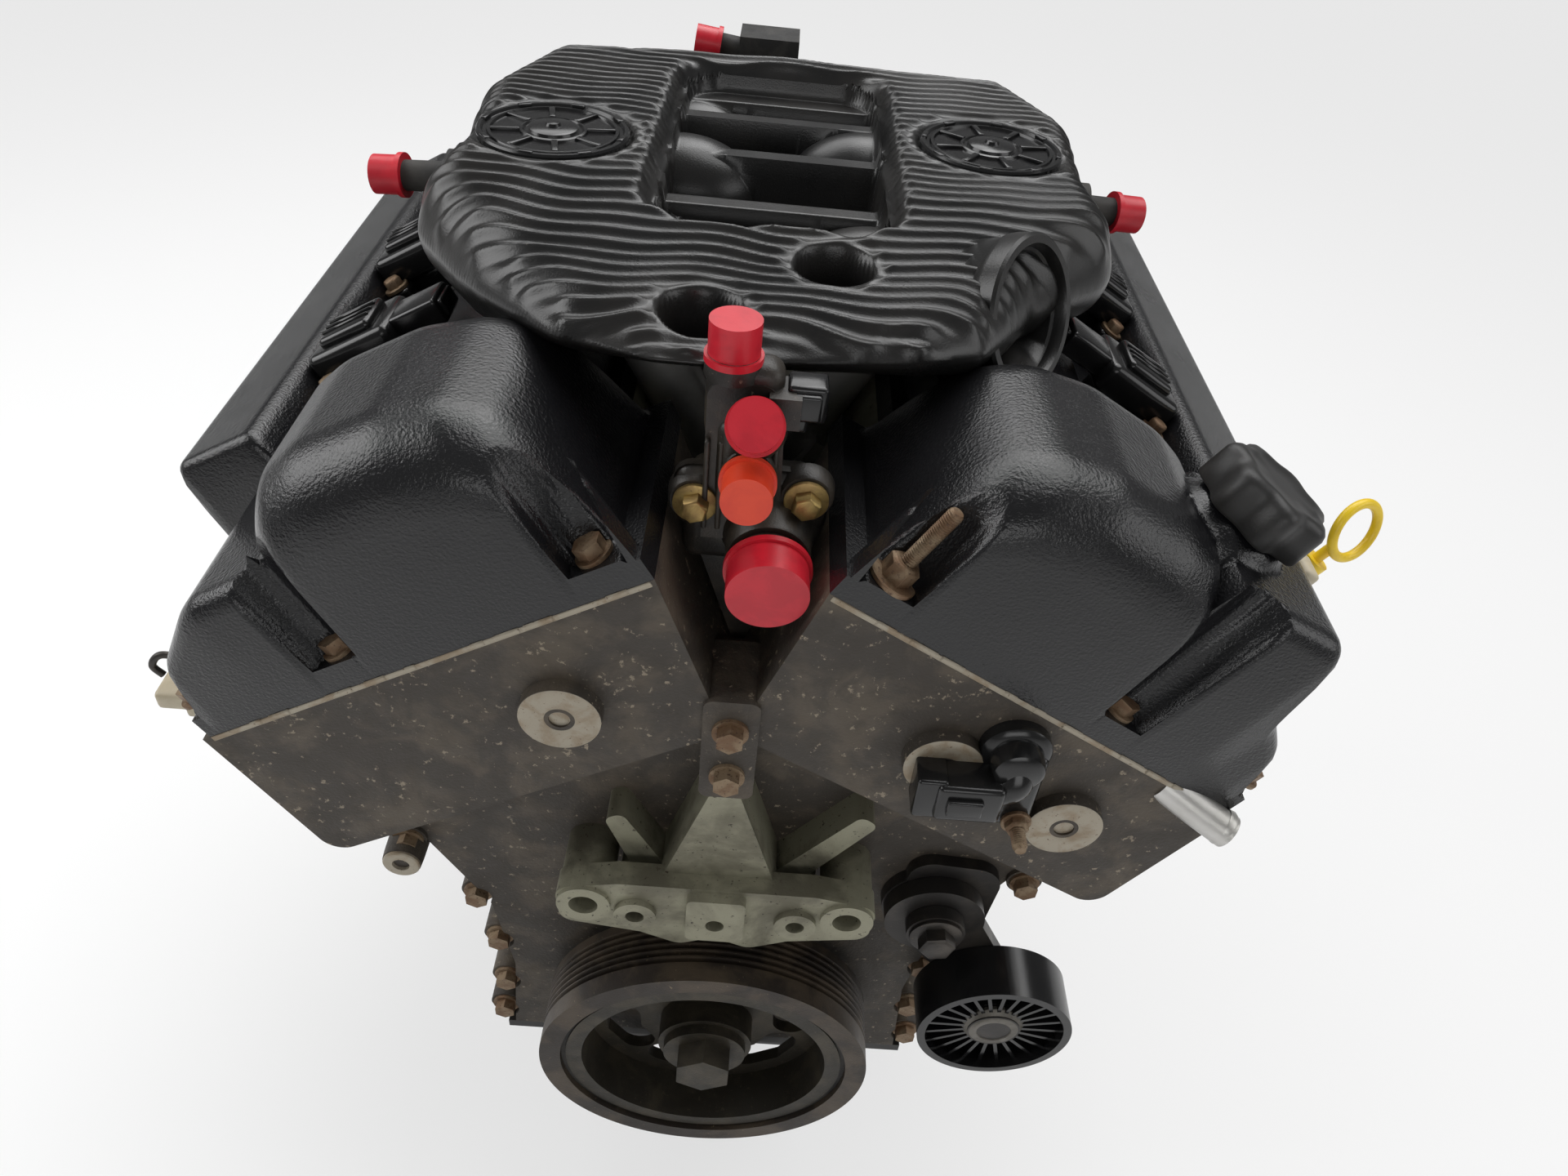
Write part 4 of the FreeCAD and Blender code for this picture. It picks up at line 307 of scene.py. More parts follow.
def makeFinish(name, recipe):
    work = Shading(name)
    patchColour, patchScale, patchBias = recipe["patch"]
    speckColour, speckScale, speckBias = recipe["speck"]
    under, over = edgeWidths["patch"]
    patches = work.ramp(work.noise(patchScale, 5.0, 0.6, 0.4), patchBias - under, patchBias + over)
    under, over = edgeWidths["speck"]
    specks = work.ramp(work.noise(speckScale, 4.0, 0.7), speckBias - under, speckBias + over)
    colour = work.blend(patches, recipe["base"], patchColour)
    colour = work.blend(specks, colour, speckColour)
    work.join(colour, work.shader.inputs["Base Color"])
    work.shader.inputs["Metallic"].default_value = recipe["metal"]
    smudge = work.noise(patchScale * 2.6, 4.0, 0.6, 0.3)
    least, most = (recipe["rough"] * share for share in edgeWidths["rough"])
    work.join(work.spread(smudge, least, most), work.shader.inputs["Roughness"])
    grainScale, grainDepth = recipe["grain"]
    grain = work.noise(grainScale, 2.0, 0.6)
    work.join(work.bump(grain, 0.4 * mm, grainDepth), work.shader.inputs["Normal"])
    return work.material


materials = {name: makeFinish(name, recipe) for name, recipe in finishes.items()}
slotFinish = {
    "block_iron": "castIron", "cast_alloy": "castAlloy", "grimy_alloy": "castDark",
    "machined_steel": "steel",
    "dark_steel": "darkSteel", "bright_alloy": "brightAlloy", "bearing_metal": "shellMetal",
    "gasket": "gasketGrey",
    "cover_black": "crackle", "manifold_black": "ribbedBlack", "plug_black": "glossBlack",
    "rubber_black": "rubber",
    "damper_iron": "damperIron", "hub_iron": "hubIron", "pan_steel": "paintBlack",
    "screw_steel": "rustyScrew",
    "cap_red": "capRed", "cap_orange": "capOrange", "handle_yellow": "handleYellow",
    "guide_nylon": "nylon",
    "ceramic": "brightAlloy",
}


def dress(node, material):
    target = frame["nodes"][node]
    target.data.materials.clear()
    target.data.materials.append(material)


for part in frame["record"]["subparts"]:
    dress(part["node"], materials[slotFinish[part["material_slot"]]])
ownFinish = {"tensioner_base": "darkSteel", "tensioner_arm": "darkSteel", "crank_bolt": "hubIron",
             "coolant_outlet": "grimyBlack"}  # pieces that look unlike the rest of their slot
for node, finish in ownFinish.items():
    dress(node, materials[finish])
print("finishes on", len(frame["nodes"]), "nodes")


# Makers for the pieces that are modelled here
def makeMesh(name, points, faces, material, body, slot, smooth=40):
    data = bpy.data.meshes.new(name)
    data.from_pydata([tuple(point) for point in points], [], [tuple(face) for face in faces])
    data.validate()
    data.materials.append(materials[material])
    piece = bpy.data.objects.new(name, data)
    bpy.context.scene.collection.objects.link(piece)
    if smooth:
        data.shade_smooth()
        sharp = math.radians(smooth)
        shape = bmesh.new()
        shape.from_mesh(data)
        for edge in shape.edges:
            edge.smooth = len(edge.link_faces) == 2 and edge.calc_face_angle(0) < sharp
        shape.to_mesh(data)
        shape.free()
    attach(piece, body)
    return piece


def frameAlong(axis):
    # two directions square to an axis
    axis = Vector(axis).normalized()
    helper = Vector((0, 0, 1)) if abs(axis.z) < 0.9 else Vector((1, 0, 0))
    across = axis.cross(helper).normalized()
    return axis, across, axis.cross(across)


def ringFaces(rings, sides):
    # quads between rings of points, and a cap at each end
    faces = []
    for row in range(rings - 1):
        near, far = row * sides, (row + 1) * sides
        for side in range(sides):
            after = (side + 1) % sides
            faces.append((near + side, near + after, far + after, far + side))
    faces.append(tuple(reversed(range(sides))))
    faces.append(tuple(range((rings - 1) * sides, rings * sides)))
    return faces


def turned(profile, start, axis, sides=48, twist=0.0):
    # a profile of (distance along the axis, radius) in millimetres, turned round the axis
    axis, across, other = frameAlong(axis)
    start = Vector(start) * mm
    points = []
    for along, radius in profile:
        for side in range(sides):
            angle = 2 * math.pi * side / sides + twist
            ring = across * math.cos(angle) + other * math.sin(angle)
            points.append(start + axis * along * mm + ring * radius * mm)
    return points, ringFaces(len(profile), sides)


def joined(parts):
    points, faces = [], []
    for more, loops in parts:
        base = len(points)
        points += list(more)
        faces += [tuple(base + corner for corner in loop) for loop in loops]
    return points, faces


def pipe(route, radius, sides=20, steps=10):
    # a round bar along a smooth line through the route's points, in millimetres
    spots = [Vector(spot) for spot in route]
    line = []
    for index in range(len(spots) - 1):
        before = spots[max(index - 1, 0)]
        here, ahead = spots[index], spots[index + 1]
        beyond = spots[min(index + 2, len(spots) - 1)]
        for step in range(steps):
            t = step / steps
            line.append(0.5 * (2 * here + (ahead - before) * t
                               + (2 * before - 5 * here + 4 * ahead - beyond) * t * t
                               + (3 * here - before - 3 * ahead + beyond) * t ** 3))
    line.append(spots[-1])
    points = []
    up = frameAlong(line[1] - line[0])[1]
    for index, spot in enumerate(line):
        heading = (line[min(index + 1, len(line) - 1)] - line[max(index - 1, 0)]).normalized()
        up = (up - heading * up.dot(heading)).normalized()
        other = heading.cross(up)
        for side in range(sides):
            angle = 2 * math.pi * side / sides
            points.append((spot + (up * math.cos(angle) + other * math.sin(angle)) * radius) * mm)
    return points, ringFaces(len(line), sides)


def roundedBlock(low, high, radius, tilt=None, place=None, segments=3):
    # a block with rounded edges in millimetres, turned by a matrix and moved
    shape = bmesh.new()
    bmesh.ops.create_cube(shape, size=1.0)
    for vertex in shape.verts:
        vertex.co = Vector([low[i] if vertex.co[i] < 0 else high[i] for i in range(3)])
    bmesh.ops.bevel(shape, geom=list(shape.edges), offset=radius, segments=segments, profile=0.5,
                    affect="EDGES")
    shape.verts.index_update()
    turn = tilt or Matrix.Identity(3)
    shift = Vector(place or (0, 0, 0))
    points = [(turn @ vertex.co + shift) * mm for vertex in shape.verts]
    faces = [tuple(vertex.index for vertex in face.verts) for face in shape.faces]
    shape.free()
    return points, faces


# Intake manifold: one shell with ribs across it, two plug seats, two wells, an opening with bars
manifold = {
    "outline": [(-38, 386, 14), (-20, 386, 14), (60, 366, 16), (84, 352, 14), (112, 300, 20),
                (155, 262, 30), (150, 206, 20), (155, 140, 30), (126, 72, 26), (60, 72, 14),
                (0, 66, 20), (-60, 72, 14), (-128, 84, 26), (-151, 160, 30), (-146, 214, 20),
                (-151, 276, 30), (-112, 330, 24), (-74, 372, 20)],
    "steps": (1.5, 0.8), "base": 332.0, "waist": 350.0, "top": 378.0,
    "slope": [(262, 0), (322, -8), (364, -8.5), (394, -14)], "undercut": [(314, 0), (394, 30)],
    "shoulder": 22.0, "belly": 12.0,
    "ribPitch": 8.4, "ribHeight": 3.4, "ribWave": 3.2, "ribFade": 9.0,
    "seats": [(-100, 222), (101, 190)], "seatRadius": 34.8,
    "opening": (50, 104, 290), "openingCorner": 20, "openingFloor": 341.0, "rimRound": 9.0,
    "bars": [(110, 10, 366), (148, 4.5, 368), (195, 4.5, 367), (243, 5, 362)],
    "humps": [(-44, 190, 26, 30), (-46, 276, 25, 24), (44, 166, 26, 30), (46, 262, 24, 22),
              (-44, 120, 22, 24)],
    "wells": [(-23, 360), (26, 318)], "wellRadius": 14.0, "wellFloor": 345.0,
}


def roundedOutline(corners, perArc=10):
    line = []
    count = len(corners)
    for index, (x, station, radius) in enumerate(corners):
        here = Vector((x, -station))
        before, after = corners[index - 1], corners[(index + 1) % count]
        back = Vector((before[0], -before[1])) - here
        ahead = Vector((after[0], -after[1])) - here
        turn = back.angle(ahead)
        reach = min(radius / math.tan(turn / 2), 0.48 * back.length, 0.48 * ahead.length)
        first, last = here + back.normalized() * reach, here + ahead.normalized() * reach
        for step in range(perArc + 1):
            t = step / perArc
            line.append(first * (1 - t) ** 2 + here * 2 * t * (1 - t) + last * t * t)
    return np.array([tuple(spot) for spot in line])


def signedDistance(line, x, y):
    # distance to a closed line, positive inside
    best = np.full(x.shape, 1e9)
    inside = np.zeros(x.shape, bool)
    for (ax, ay), (bx, by) in zip(line, np.roll(line, -1, axis=0)):
        ex, ey = bx - ax, by - ay
        span = ex * ex + ey * ey
        if span < 1e-9:
            continue
        along = np.clip(((x - ax) * ex + (y - ay) * ey) / span, 0, 1)
        best = np.minimum(best, (x - ax - along * ex) ** 2 + (y - ay - along * ey) ** 2)
        if ay != by:
            crosses = ((ay > y) != (by > y)) & (x < ex * (y - ay) / ey + ax)
            inside ^= crosses
    return np.where(inside, 1, -1) * np.sqrt(best)


def smooth(value, low, high):
    t = np.clip((value - low) / (high - low), 0, 1)
    return t * t * (3 - 2 * t)


def wander(x, y, seed):
    # slow waves that never repeat across the piece
    return (np.sin(x * 0.031 + seed) * np.cos(y * 0.023 + seed * 1.7)
            + 0.6 * np.sin(x * 0.067 + y * 0.019 + seed * 2.3)
            + 0.35 * np.sin(x * 0.13 - y * 0.041 + seed * 3.1))


def roundBox(x, y, half, low, high, corner):
    # distance outside a rounded box across the middle, negative inside
    middle = (low + high) / 2
    dx = np.abs(x) - (half - corner)
    dy = np.abs(-y - middle) - ((high - low) / 2 - corner)
    return (np.hypot(np.maximum(dx, 0), np.maximum(dy, 0))
            + np.minimum(np.maximum(dx, dy), 0) - corner)


def manifoldTop(shape, x, y, depth):
    station = -y
    top = shape["top"] + np.interp(station, *zip(*shape["slope"]))
    waist = shape["waist"] + 0.45 * np.interp(station, *zip(*shape["undercut"]))
    reach = np.clip(depth / shape["shoulder"], 0, 1)
    height = waist + (top - waist) * (1 - (1 - reach) ** 2) ** 0.62
    phase = (station + shape["ribWave"] * wander(x, y, 1.3) + 0.05 * np.abs(x)) / shape["ribPitch"]
    crest = 1.3 - np.sqrt(np.sin(np.pi * phase) ** 2 + 0.09)
    ends = shape["ribFade"] * (0.9 + 0.55 * np.sin(np.floor(phase + 0.5) * 2.4)
                               + 0.3 * np.sin(x * 0.3))
    ribs = crest * smooth(depth, ends * 0.15, ends)
    half, low, high = shape["opening"]
    rim = roundBox(x, y, half, low, high, shape["openingCorner"])
    ribs = ribs * smooth(rim, 2, 9 + 3 * np.sin(phase * 2.1))
    for cx, cs in shape["seats"]:
        away = np.hypot(x - cx, station - cs)
        ribs = ribs * smooth(away, shape["seatRadius"] + 1.5, shape["seatRadius"] + 8)
        lip = np.exp(-((away - shape["seatRadius"] - 2.6) / 1.5) ** 2)
        height = height + 1.5 * lip - (away < shape["seatRadius"] + 0.4) * 1.6
    for cx, cs in shape["wells"]:
        away = np.hypot(x - cx, station - cs)
        scallop = 0.8 * np.sin(np.arctan2(station - cs, x - cx) * 6 + cx)
        ribs = ribs * smooth(away, shape["wellRadius"] + 2 + scallop,
                             shape["wellRadius"] + 9 + scallop)
    height = height + shape["ribHeight"] * ribs
    height = height - 7.0 * (1 - smooth(rim, 0, shape["rimRound"])) ** 2 * (rim > -0.5)
    for cx, cs in shape["wells"]:
        away = np.hypot(x - cx, station - cs)
        height = height + 0.9 * np.exp(-((away - shape["wellRadius"] - 3) / 1.8) ** 2)
        rise = smooth(away, shape["wellRadius"] - 2.8, shape["wellRadius"] + 2.2)
        well = shape["wellFloor"] + (height - shape["wellFloor"]) * rise
        height = np.where(away < shape["wellRadius"] + 2.2, well, height)
    floor = np.full(x.shape, shape["openingFloor"])
    for cx, cs, radius, rise in shape["humps"]:
        gap = np.clip(1 - ((x - cx) / (radius * 1.5)) ** 2 - ((station - cs) / radius) ** 2, 0, 1)
        floor = np.maximum(floor, shape["openingFloor"] + rise * np.sqrt(gap))
    for cs, halfBar, level in shape["bars"]:
        floor = np.maximum(floor, shape["openingFloor"] + (level - shape["openingFloor"])
                           * (1 - smooth(np.abs(station - cs), halfBar, halfBar + 2.0)))
    wall = smooth(rim, -3.0, 0.0)
    return np.where(rim < 0, np.minimum(floor, height) * (1 - wall) + height * wall, height)


def manifoldShell(shape):
    stepX, stepY = shape["steps"]
    line = roundedOutline(shape["outline"])
    xs = np.arange(line[:, 0].min() - 2 * stepX, line[:, 0].max() + 2 * stepX, stepX)
    ys = np.arange(line[:, 1].min() - 2 * stepX, line[:, 1].max() + 2 * stepX, stepY)
    x, y = np.meshgrid(xs, ys)
    depth = signedDistance(line, x, y)
    slopeY, slopeX = np.gradient(depth, stepY, stepX)
    size = np.maximum(np.hypot(slopeX, slopeY), 0.3)
    outside = depth < 0
    x = np.where(outside, x - depth * slopeX / size ** 2, x)
    y = np.where(outside, y - depth * slopeY / size ** 2, y)
    depth = np.maximum(depth, 0)
    high = manifoldTop(shape, x, y, depth)
    under = shape["base"] + np.interp(-y, *zip(*shape["undercut"]))
    waist = shape["waist"] + 0.45 * np.interp(-y, *zip(*shape["undercut"]))
    low = waist - (waist - under) * (1 - (1 - np.clip(depth / shape["belly"], 0, 1)) ** 2) ** 0.62
    high = np.where(outside, waist, np.maximum(high, low + 0.8))
    rows, columns = x.shape
    number = np.arange(rows * columns).reshape(rows, columns)
    inner = ~outside
    used = inner[:-1, :-1] | inner[1:, :-1] | inner[:-1, 1:] | inner[1:, 1:]
    row, column = np.nonzero(used)
    quads = np.stack([number[row, column], number[row, column + 1], number[row + 1, column + 1],
                      number[row + 1, column]], axis=1)
    lower = np.where(outside, number, number + rows * columns)
    below = np.stack([lower[row, column], lower[row + 1, column], lower[row + 1, column + 1],
                      lower[row, column + 1]], axis=1)
    spots = np.concatenate([np.stack([x, y, high], axis=2).reshape(-1, 3),
                            np.stack([x, y, low], axis=2).reshape(-1, 3)])
    faces = np.concatenate([quads, below])
    kept, fresh = np.unique(faces, return_inverse=True)
    return spots[kept] * mm, fresh.reshape(-1, 4)


shellPoints, shellFaces = manifoldShell(manifold)
plenum = makeMesh("plenum_shell", shellPoints, shellFaces, "ribbedBlack", "engine",
                  "manifold_black", smooth=75)
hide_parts("intake_manifold")
inletMouth = {
    "start": (74, -284, 340), "end": (109, -312, 355.5), "lip": 32.2, "lean": (0.5, 0.866),
    "seat": [(-104, 200), (-101, 294), (-94, 300), (-91, 323), (-84, 335), (-74, 342),
             (-26, 342)],
}


def makeInlet(shape):
    start, end, lip = Vector(shape["start"]), Vector(shape["end"]), shape["lip"]
    sine, cosine = shape["lean"]
    reach = (end - start).length
    axis = (end - start).normalized()
    profile = [(0, 20), (0, 26), (10, lip - 2.7), (reach - 13, lip - 2), (reach - 11, lip - 0.4),
               (reach - 8, lip), (reach - 1.2, lip), (reach, lip - 1.2), (reach, lip - 4.2),
               (reach - 1.5, lip - 5.2), (reach - 5, lip - 5.6), (reach - 6, lip - 6.8),
               (reach - 24, lip - 7.2), (reach - 38, lip - 8), (reach - 40, 12)]
    points, faces = turned(profile, start, end - start, 72)
    seated = []
    for point in points:
        # the underside is pushed up until it lies along the right cover's low spine
        spot = Vector(point) / mm
        outboard, up = spot.x * cosine - spot.z * sine, spot.x * sine + spot.z * cosine
        away = (spot - start).cross(axis).length
        floor = np.interp(outboard, *zip(*shape["seat"])) + 0.35 * (lip + 1 - away)
        seated.append((spot + Vector((sine, 0, cosine)) * max(0.0, floor - up)) * mm)
    return makeMesh("inlet_mouth", seated, faces, "ribbedBlack", "engine", "manifold_black")


makeInlet(inletMouth)
print("manifold ready:", len(plenum.data.polygons), "faces")


bankLean = math.radians(30)
leanSine, leanCosine = math.sin(bankLean), math.cos(bankLean)


def bankSpot(side, outboard, station, up):
    # a point given in a bank's own upright frame, in millimetres
    return Vector((side * (up * leanSine + outboard * leanCosine), -station,
                   up * leanCosine - outboard * leanSine))


def bankTurn(side):
    # columns: outboard, rearwards, up the bore
    outboard = Vector((side * leanCosine, 0, -leanSine))
    upward = Vector((side * leanSine, 0, leanCosine))
    return Matrix((outboard, Vector((0, 1, 0)), upward)).transposed()


def hexBolt(start, axis, across, washer, height, twist=0.0):
    # washer face, chamfered head, seen from outside
    corner = across / math.sqrt(3)
    plate = turned([(0, washer * 0.98), (0.3, washer), (1.6, washer), (2.0, washer * 0.94)], start,
                   axis, 40)
    head = turned([(1.8, corner * 0.98), (2.2, corner), (height - 1.2, corner),
                   (height - 0.2, corner * 0.86), (height, corner * 0.78)], start, axis, 6, twist)
    dish = turned([(height - 0.1, corner * 0.60), (height + 0.1, corner * 0.5)], start, axis, 24)
    return joined([plate, head, dish])


# Plug discs on the manifold: a rim, an inner ring, a hub and short bright spokes
plugDiscs = {
    "seats": [(-100, 222), (101, 190)], "base": 376.6, "spokes": 8, "twist": 0.2,
    "profile": [(0, 33.6), (2.6, 33.9), (3.5, 33.2), (3.6, 31.6), (2.4, 30.8), (2.2, 29.4),
                (3.1, 28.9), (3.2, 27.6), (2.1, 27.0), (2.0, 15.2), (3.0, 14.7), (3.3, 13.6),
                (2.4, 12.8), (2.4, 11.6), (3.9, 11.0), (4.5, 9.6), (4.7, 3.6), (5.9, 3.0),
                (6.2, 1.2)],
}


def makePlugDiscs(shape):
    parts = []
    for x, station in shape["seats"]:
        start = (x, -station, shape["base"])
        parts.append(turned(shape["profile"], start, (0, 0, 1), 72))
        for index in range(shape["spokes"]):
            spoke, tab = (Matrix.Rotation(2 * math.pi * step / shape["spokes"] + shape["twist"],
                                          3, "Z") for step in (index, index + 0.5))
            parts.append(roundedBlock((14.5, -1.5, 1.2), (27.6, 1.5, 3.6), 0.6, spoke, start))
            parts.append(roundedBlock((30.6, -3.2, 2.0), (33.2, 3.2, 4.1), 0.5, tab, start))
    piece = makeMesh("manifold_plug_discs", *joined(parts), "glossBlack", "engine",
                     "manifold_black")
    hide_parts("manifold_plugs")


makePlugDiscs(plugDiscs)

# Coils: moulded tops with a connector and a retaining screw each
coils = {
    "stations": {1: (69, 166, 263), -1: (93, 190, 287)},
    # body, lid, connector and its mouth: low corner, high corner, edge radius, segments
    "blocks": [((-21, -17, 341), (22, 17, 357), 4.0, 4), ((-13, -12, 355), (14, 12, 361), 2.5, 3),
               ((-44, -10, 344), (-19, 10, 356), 2.0, 3),
               ((-46, -7.5, 346), (-40, 7.5, 354), 1.2, 3)],
    "collar": [(0, 12.5), (3, 12.5), (4, 11.8)], "collarUp": 338, "ribs": (-5, 0, 5),
    "foot": ((8, -26, 337), (21, -15, 342), 1.5), "screw": (15, 21, 342),
}


def makeCoils(shape):
    tops, screws = [], []
    for side, stations in shape["stations"].items():
        turn = bankTurn(side)
        for station in stations:
            spot = (0, -station, 0)
            for low, high, radius, segments in shape["blocks"]:
                tops.append(roundedBlock(low, high, radius, turn, spot, segments))
            tops.append(turned(shape["collar"], bankSpot(side, 0, station, shape["collarUp"]),
                               turn.col[2], 32))
            for rib in shape["ribs"]:
                tops.append(roundedBlock((-12, rib - 0.8, 360.4), (13, rib + 0.8, 361.9), 0.5, turn,
                                         spot, 1))
            outboard, ahead, up = shape["screw"]
            seat = bankSpot(side, outboard, station + ahead, up)
            screws.append(hexBolt(seat, turn.col[2], 8, 6.4, 6.5, 0.4 * side))
            tops.append(roundedBlock(*shape["foot"], turn, spot))
    makeMesh("coil_tops", *joined(tops), "glossBlack", "engine", "plug_black")
    makeMesh("coil_screws", *joined(screws), "rustyScrew", "engine", "screw_steel")


makeCoils(coils)

# Coolant outlet: a moulded column on a two-eared flange, with plated screws and a short connector
outlet = {
    "screws": [(-19.5, 316), (20.5, 321)], "face": -404.6, "ribs": (-16, -11, 8),
    # column, its pad, upper flange and lower flange: low corner, high corner, edge radius, segments
    "blocks": [((-18, -403.6, 340), (9, -388, 372), 6.0, 5),
               ((-13, -407.6, 318), (7, -390, 352), 5.0, 4),
               ((-28, -402.5, 302), (29, -392, 329), 7.0, 4),
               ((-24, -401, 286), (24, -390, 308), 5.0, 3)],
    # large, upper, middle and top neck: profile, start, axis, sides
    "necks": [([(0, 21), (5, 20.4), (9, 18), (14, 16.2), (24, 15.6), (25, 15)], (8, -392, 303),
               (0.02, -1, -0.03), 48),
              ([(0, 11.5), (6, 11), (9, 9)], (0, -398, 345), (0, -0.81, 0.58), 32),
              ([(0, 11), (8, 10.4), (11, 8.6)], (-1, -398, 332.5), (0, -0.99, 0.1), 32),
              ([(0, 10), (7, 9.6), (9, 8.4)], (-9, -397, 366), (0, 0, 1), 32)],
    "ear": [(0, 10.5), (6.6, 10), (7.8, 9.2)],
    "connector": [((10, -403, 352), (24, -391, 366), 1.6),
                  ((12, -405.5, 354), (22, -401, 364), 1.0),
                  ((8, -400, 346), (18, -393, 353), 1.2)],
}


def makeOutlet(shape):
    face = shape["face"]
    body = [roundedBlock(low, high, radius, segments=segments) for low, high, radius,
            segments in shape["blocks"]]
    body += [turned(profile, start, axis, sides) for profile, start, axis, sides in shape["necks"]]
    for x, z in shape["screws"]:
        body.append(turned(shape["ear"], (x, -396, z), (0, -1, 0), 32))
    for x in shape["ribs"]:
        body.append(roundedBlock((x - 1, face - 2.4, 306), (x + 1, face + 4, 344), 0.7))
    makeMesh("outlet_housing", *joined(body), "grimyBlack", "engine", "cast_alloy")
    plug = [roundedBlock(*block) for block in shape["connector"]]
    makeMesh("outlet_connector", *joined(plug), "glossBlack", "engine", "plug_black")
    screws = [hexBolt((x, -404, z), (0, -1, 0), 9.4, 8.2, 7.4, 0.3) for x, z in shape["screws"]]
    makeMesh("outlet_screws", *joined(screws), "goldScrew", "engine", "screw_steel")


makeOutlet(outlet)

# Stud, washer and nut in the right cover's inner pocket
stud = {"spot": (-110, 431, 294), "length": 33}


def makeStud(shape):
    outboard, station, up = shape["spot"]
    base = bankSpot(1, outboard, station, up)
    axis = bankTurn(1).col[2]
    profile = [(1, 3.0)]
    for step in range(shape["length"]):
        profile += [(2 + step, 3.1), (2.5 + step, 2.75)]
    profile += [(shape["length"] + 2, 2.9), (shape["length"] + 3, 2.2)]
    makeMesh("cover_stud",
             *joined([turned(profile, base, axis, 20), hexBolt(base, axis, 11.5, 9.8, 9.5)]),
             "rustyScrew", "engine", "screw_steel", smooth=30)


makeStud(stud)

# Machined faces: pale rings on the bosses and the ear
machined = {
    "bosses": [(-1, -64, 240), (1, -42, 240), (1, 22, 240)], "front": 445.0,
    "ear": (-147, -398, 109),
    "ring": [(0, 15.9), (0.9, 15.9), (1.25, 15.3), (1.3, 6.4), (0.6, 5.2), (-5, 4.1)],
    "earFace": [(26, 8.6), (27.2, 8.6), (27.8, 8.0), (27.8, 4.0), (20, 3.4)],
    "earNeck": [(0, 9.6), (22, 9.2), (26.2, 8.9)],
}


def makeFaces(shape):
    parts = []
    for side, outboard, up in shape["bosses"]:
        parts.append(turned(shape["ring"], bankSpot(side, outboard, shape["front"], up),
                            (0, -1, 0), 64))
    parts.append(turned(shape["earFace"], shape["ear"], (0, -1, 0), 40))
    makeMesh("machined_faces", *joined(parts), "machinedTan", "engine", "grimy_alloy")
    neck = [turned(shape["earNeck"], shape["ear"], (0, -1, 0), 40)]
    makeMesh("left_ear", *joined(neck), "castDark", "engine", "grimy_alloy")


makeFaces(machined)

# Camshaft sensor with its bracket, connector and stud
sensor = {
    "head": (110, -440, 239), "stud": (117, -440, 204), "nut": (117, -449, 204), "threads": 14,
    "profile": [(0, 14), (5, 14), (6.5, 12.6), (7, 10.5), (12, 10.2), (15, 9.6), (16.5, 7.6)],
    # bracket, connector body, its mouth and its latch: low corner, high corner, edge radius
    "blocks": [((103, -449, 200), (123, -440, 240), 3.0), ((80, -461, 215), (106, -443, 234), 2.2),
               ((72, -459, 214), (84, -445, 235), 1.5), ((84, -463.5, 221), (98, -459, 229), 1.0)],
    "lead": [(104, -452, 226), (110, -453, 232), (110, -449, 238)],
}


def makeSensor(shape):
    parts = [turned(shape["profile"], shape["head"], (0, -1, 0), 40)]
    parts += [roundedBlock(*block) for block in shape["blocks"]]
    parts.append(pipe(shape["lead"], 7.0))
    piece = makeMesh("cam_sensor_body", *joined(parts), "glossBlack", "engine", "plug_black")
    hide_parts("cam_sensor")
    profile = [(0, 3.4)]
    for step in range(shape["threads"]):
        profile += [(9 + step, 3.1), (9.5 + step, 2.7)]
    stud = turned(profile + [(24, 2.2)], shape["stud"], (0, -1, 0), 20)
    nut = hexBolt(shape["nut"], (0, -1, 0), 8.6, 6.2, 5.6)
    makeMesh("cam_sensor_stud", *joined([stud, nut]), "rustyScrew", "engine", "screw_steel",
             smooth=30)


makeSensor(sensor)

# Small fittings at the edges: a silver tube stub, a wire hook and two pale clips
edges = {
    "stub": [(176, -434, 217), (190, -440, 210), (205, -446, 203)], "stubRadius": 7.4,
    "hook": [(-208, -417, 222), (-218, -419, 229), (-226, -420, 231), (-230, -421, 226),
             (-227, -421, 221)],
    "clips": [((-233, -424, 203), (-209, -408, 212)), ((-224, -421, 196), (-215, -410, 204))],
    "ledgeClip": ((66, -366, 338), (74, -350, 359)), "clipEdges": (2.2, 1.5),
}


def makeEdges(shape):
    tube = pipe(shape["stub"], shape["stubRadius"], 32, 8)
    lip = turned([(0, 7.6), (2.5, 8.0), (4, 7.4), (4.4, 5.5)], (201, -444, 205),
                 (0.88, -0.36, -0.40), 40)
    makeMesh("tube_stub", *joined([tube, lip]), "brightAlloy", "engine", "cast_alloy")
    makeMesh("wire_hook", *pipe(shape["hook"], 1.5, 12, 8), "darkSteel", "engine", "dark_steel")
    clips = [roundedBlock(*block, edge) for block, edge in zip(shape["clips"], shape["clipEdges"])]
    clips.append(roundedBlock(*shape["ledgeClip"], shape["clipEdges"][0], bankTurn(1)))
    makeMesh("pale_clips", *joined(clips), "nylon", "engine", "plug_black")


makeEdges(edges)

# Tensioner trim: a dust cap on the pulley and the bolt at the pivot
tensioner = {
    "pulley": (142, -446.7, 41), "pivot": (105, -434.0, 95),
    "cap": [(0, 15.4), (1.6, 15.4), (3.2, 13.8), (4.4, 12.4), (5.0, 11.6), (5.1, 8.6), (3.8, 7.8),
            (3.7, 2)],
}


def makeTensionerTrim(shape):
    cap = turned(shape["cap"], shape["pulley"], (0, -1, 0), 48)
    makeMesh("pulley_cap", *cap, "wornGrey", "idler_pulley", "dark_steel")
    bolt = hexBolt(shape["pivot"], (0, -1, 0), 15, 12.6, 9.0, 0.2)
    makeMesh("tensioner_bolt", *bolt, "darkSteel", "engine", "dark_steel")


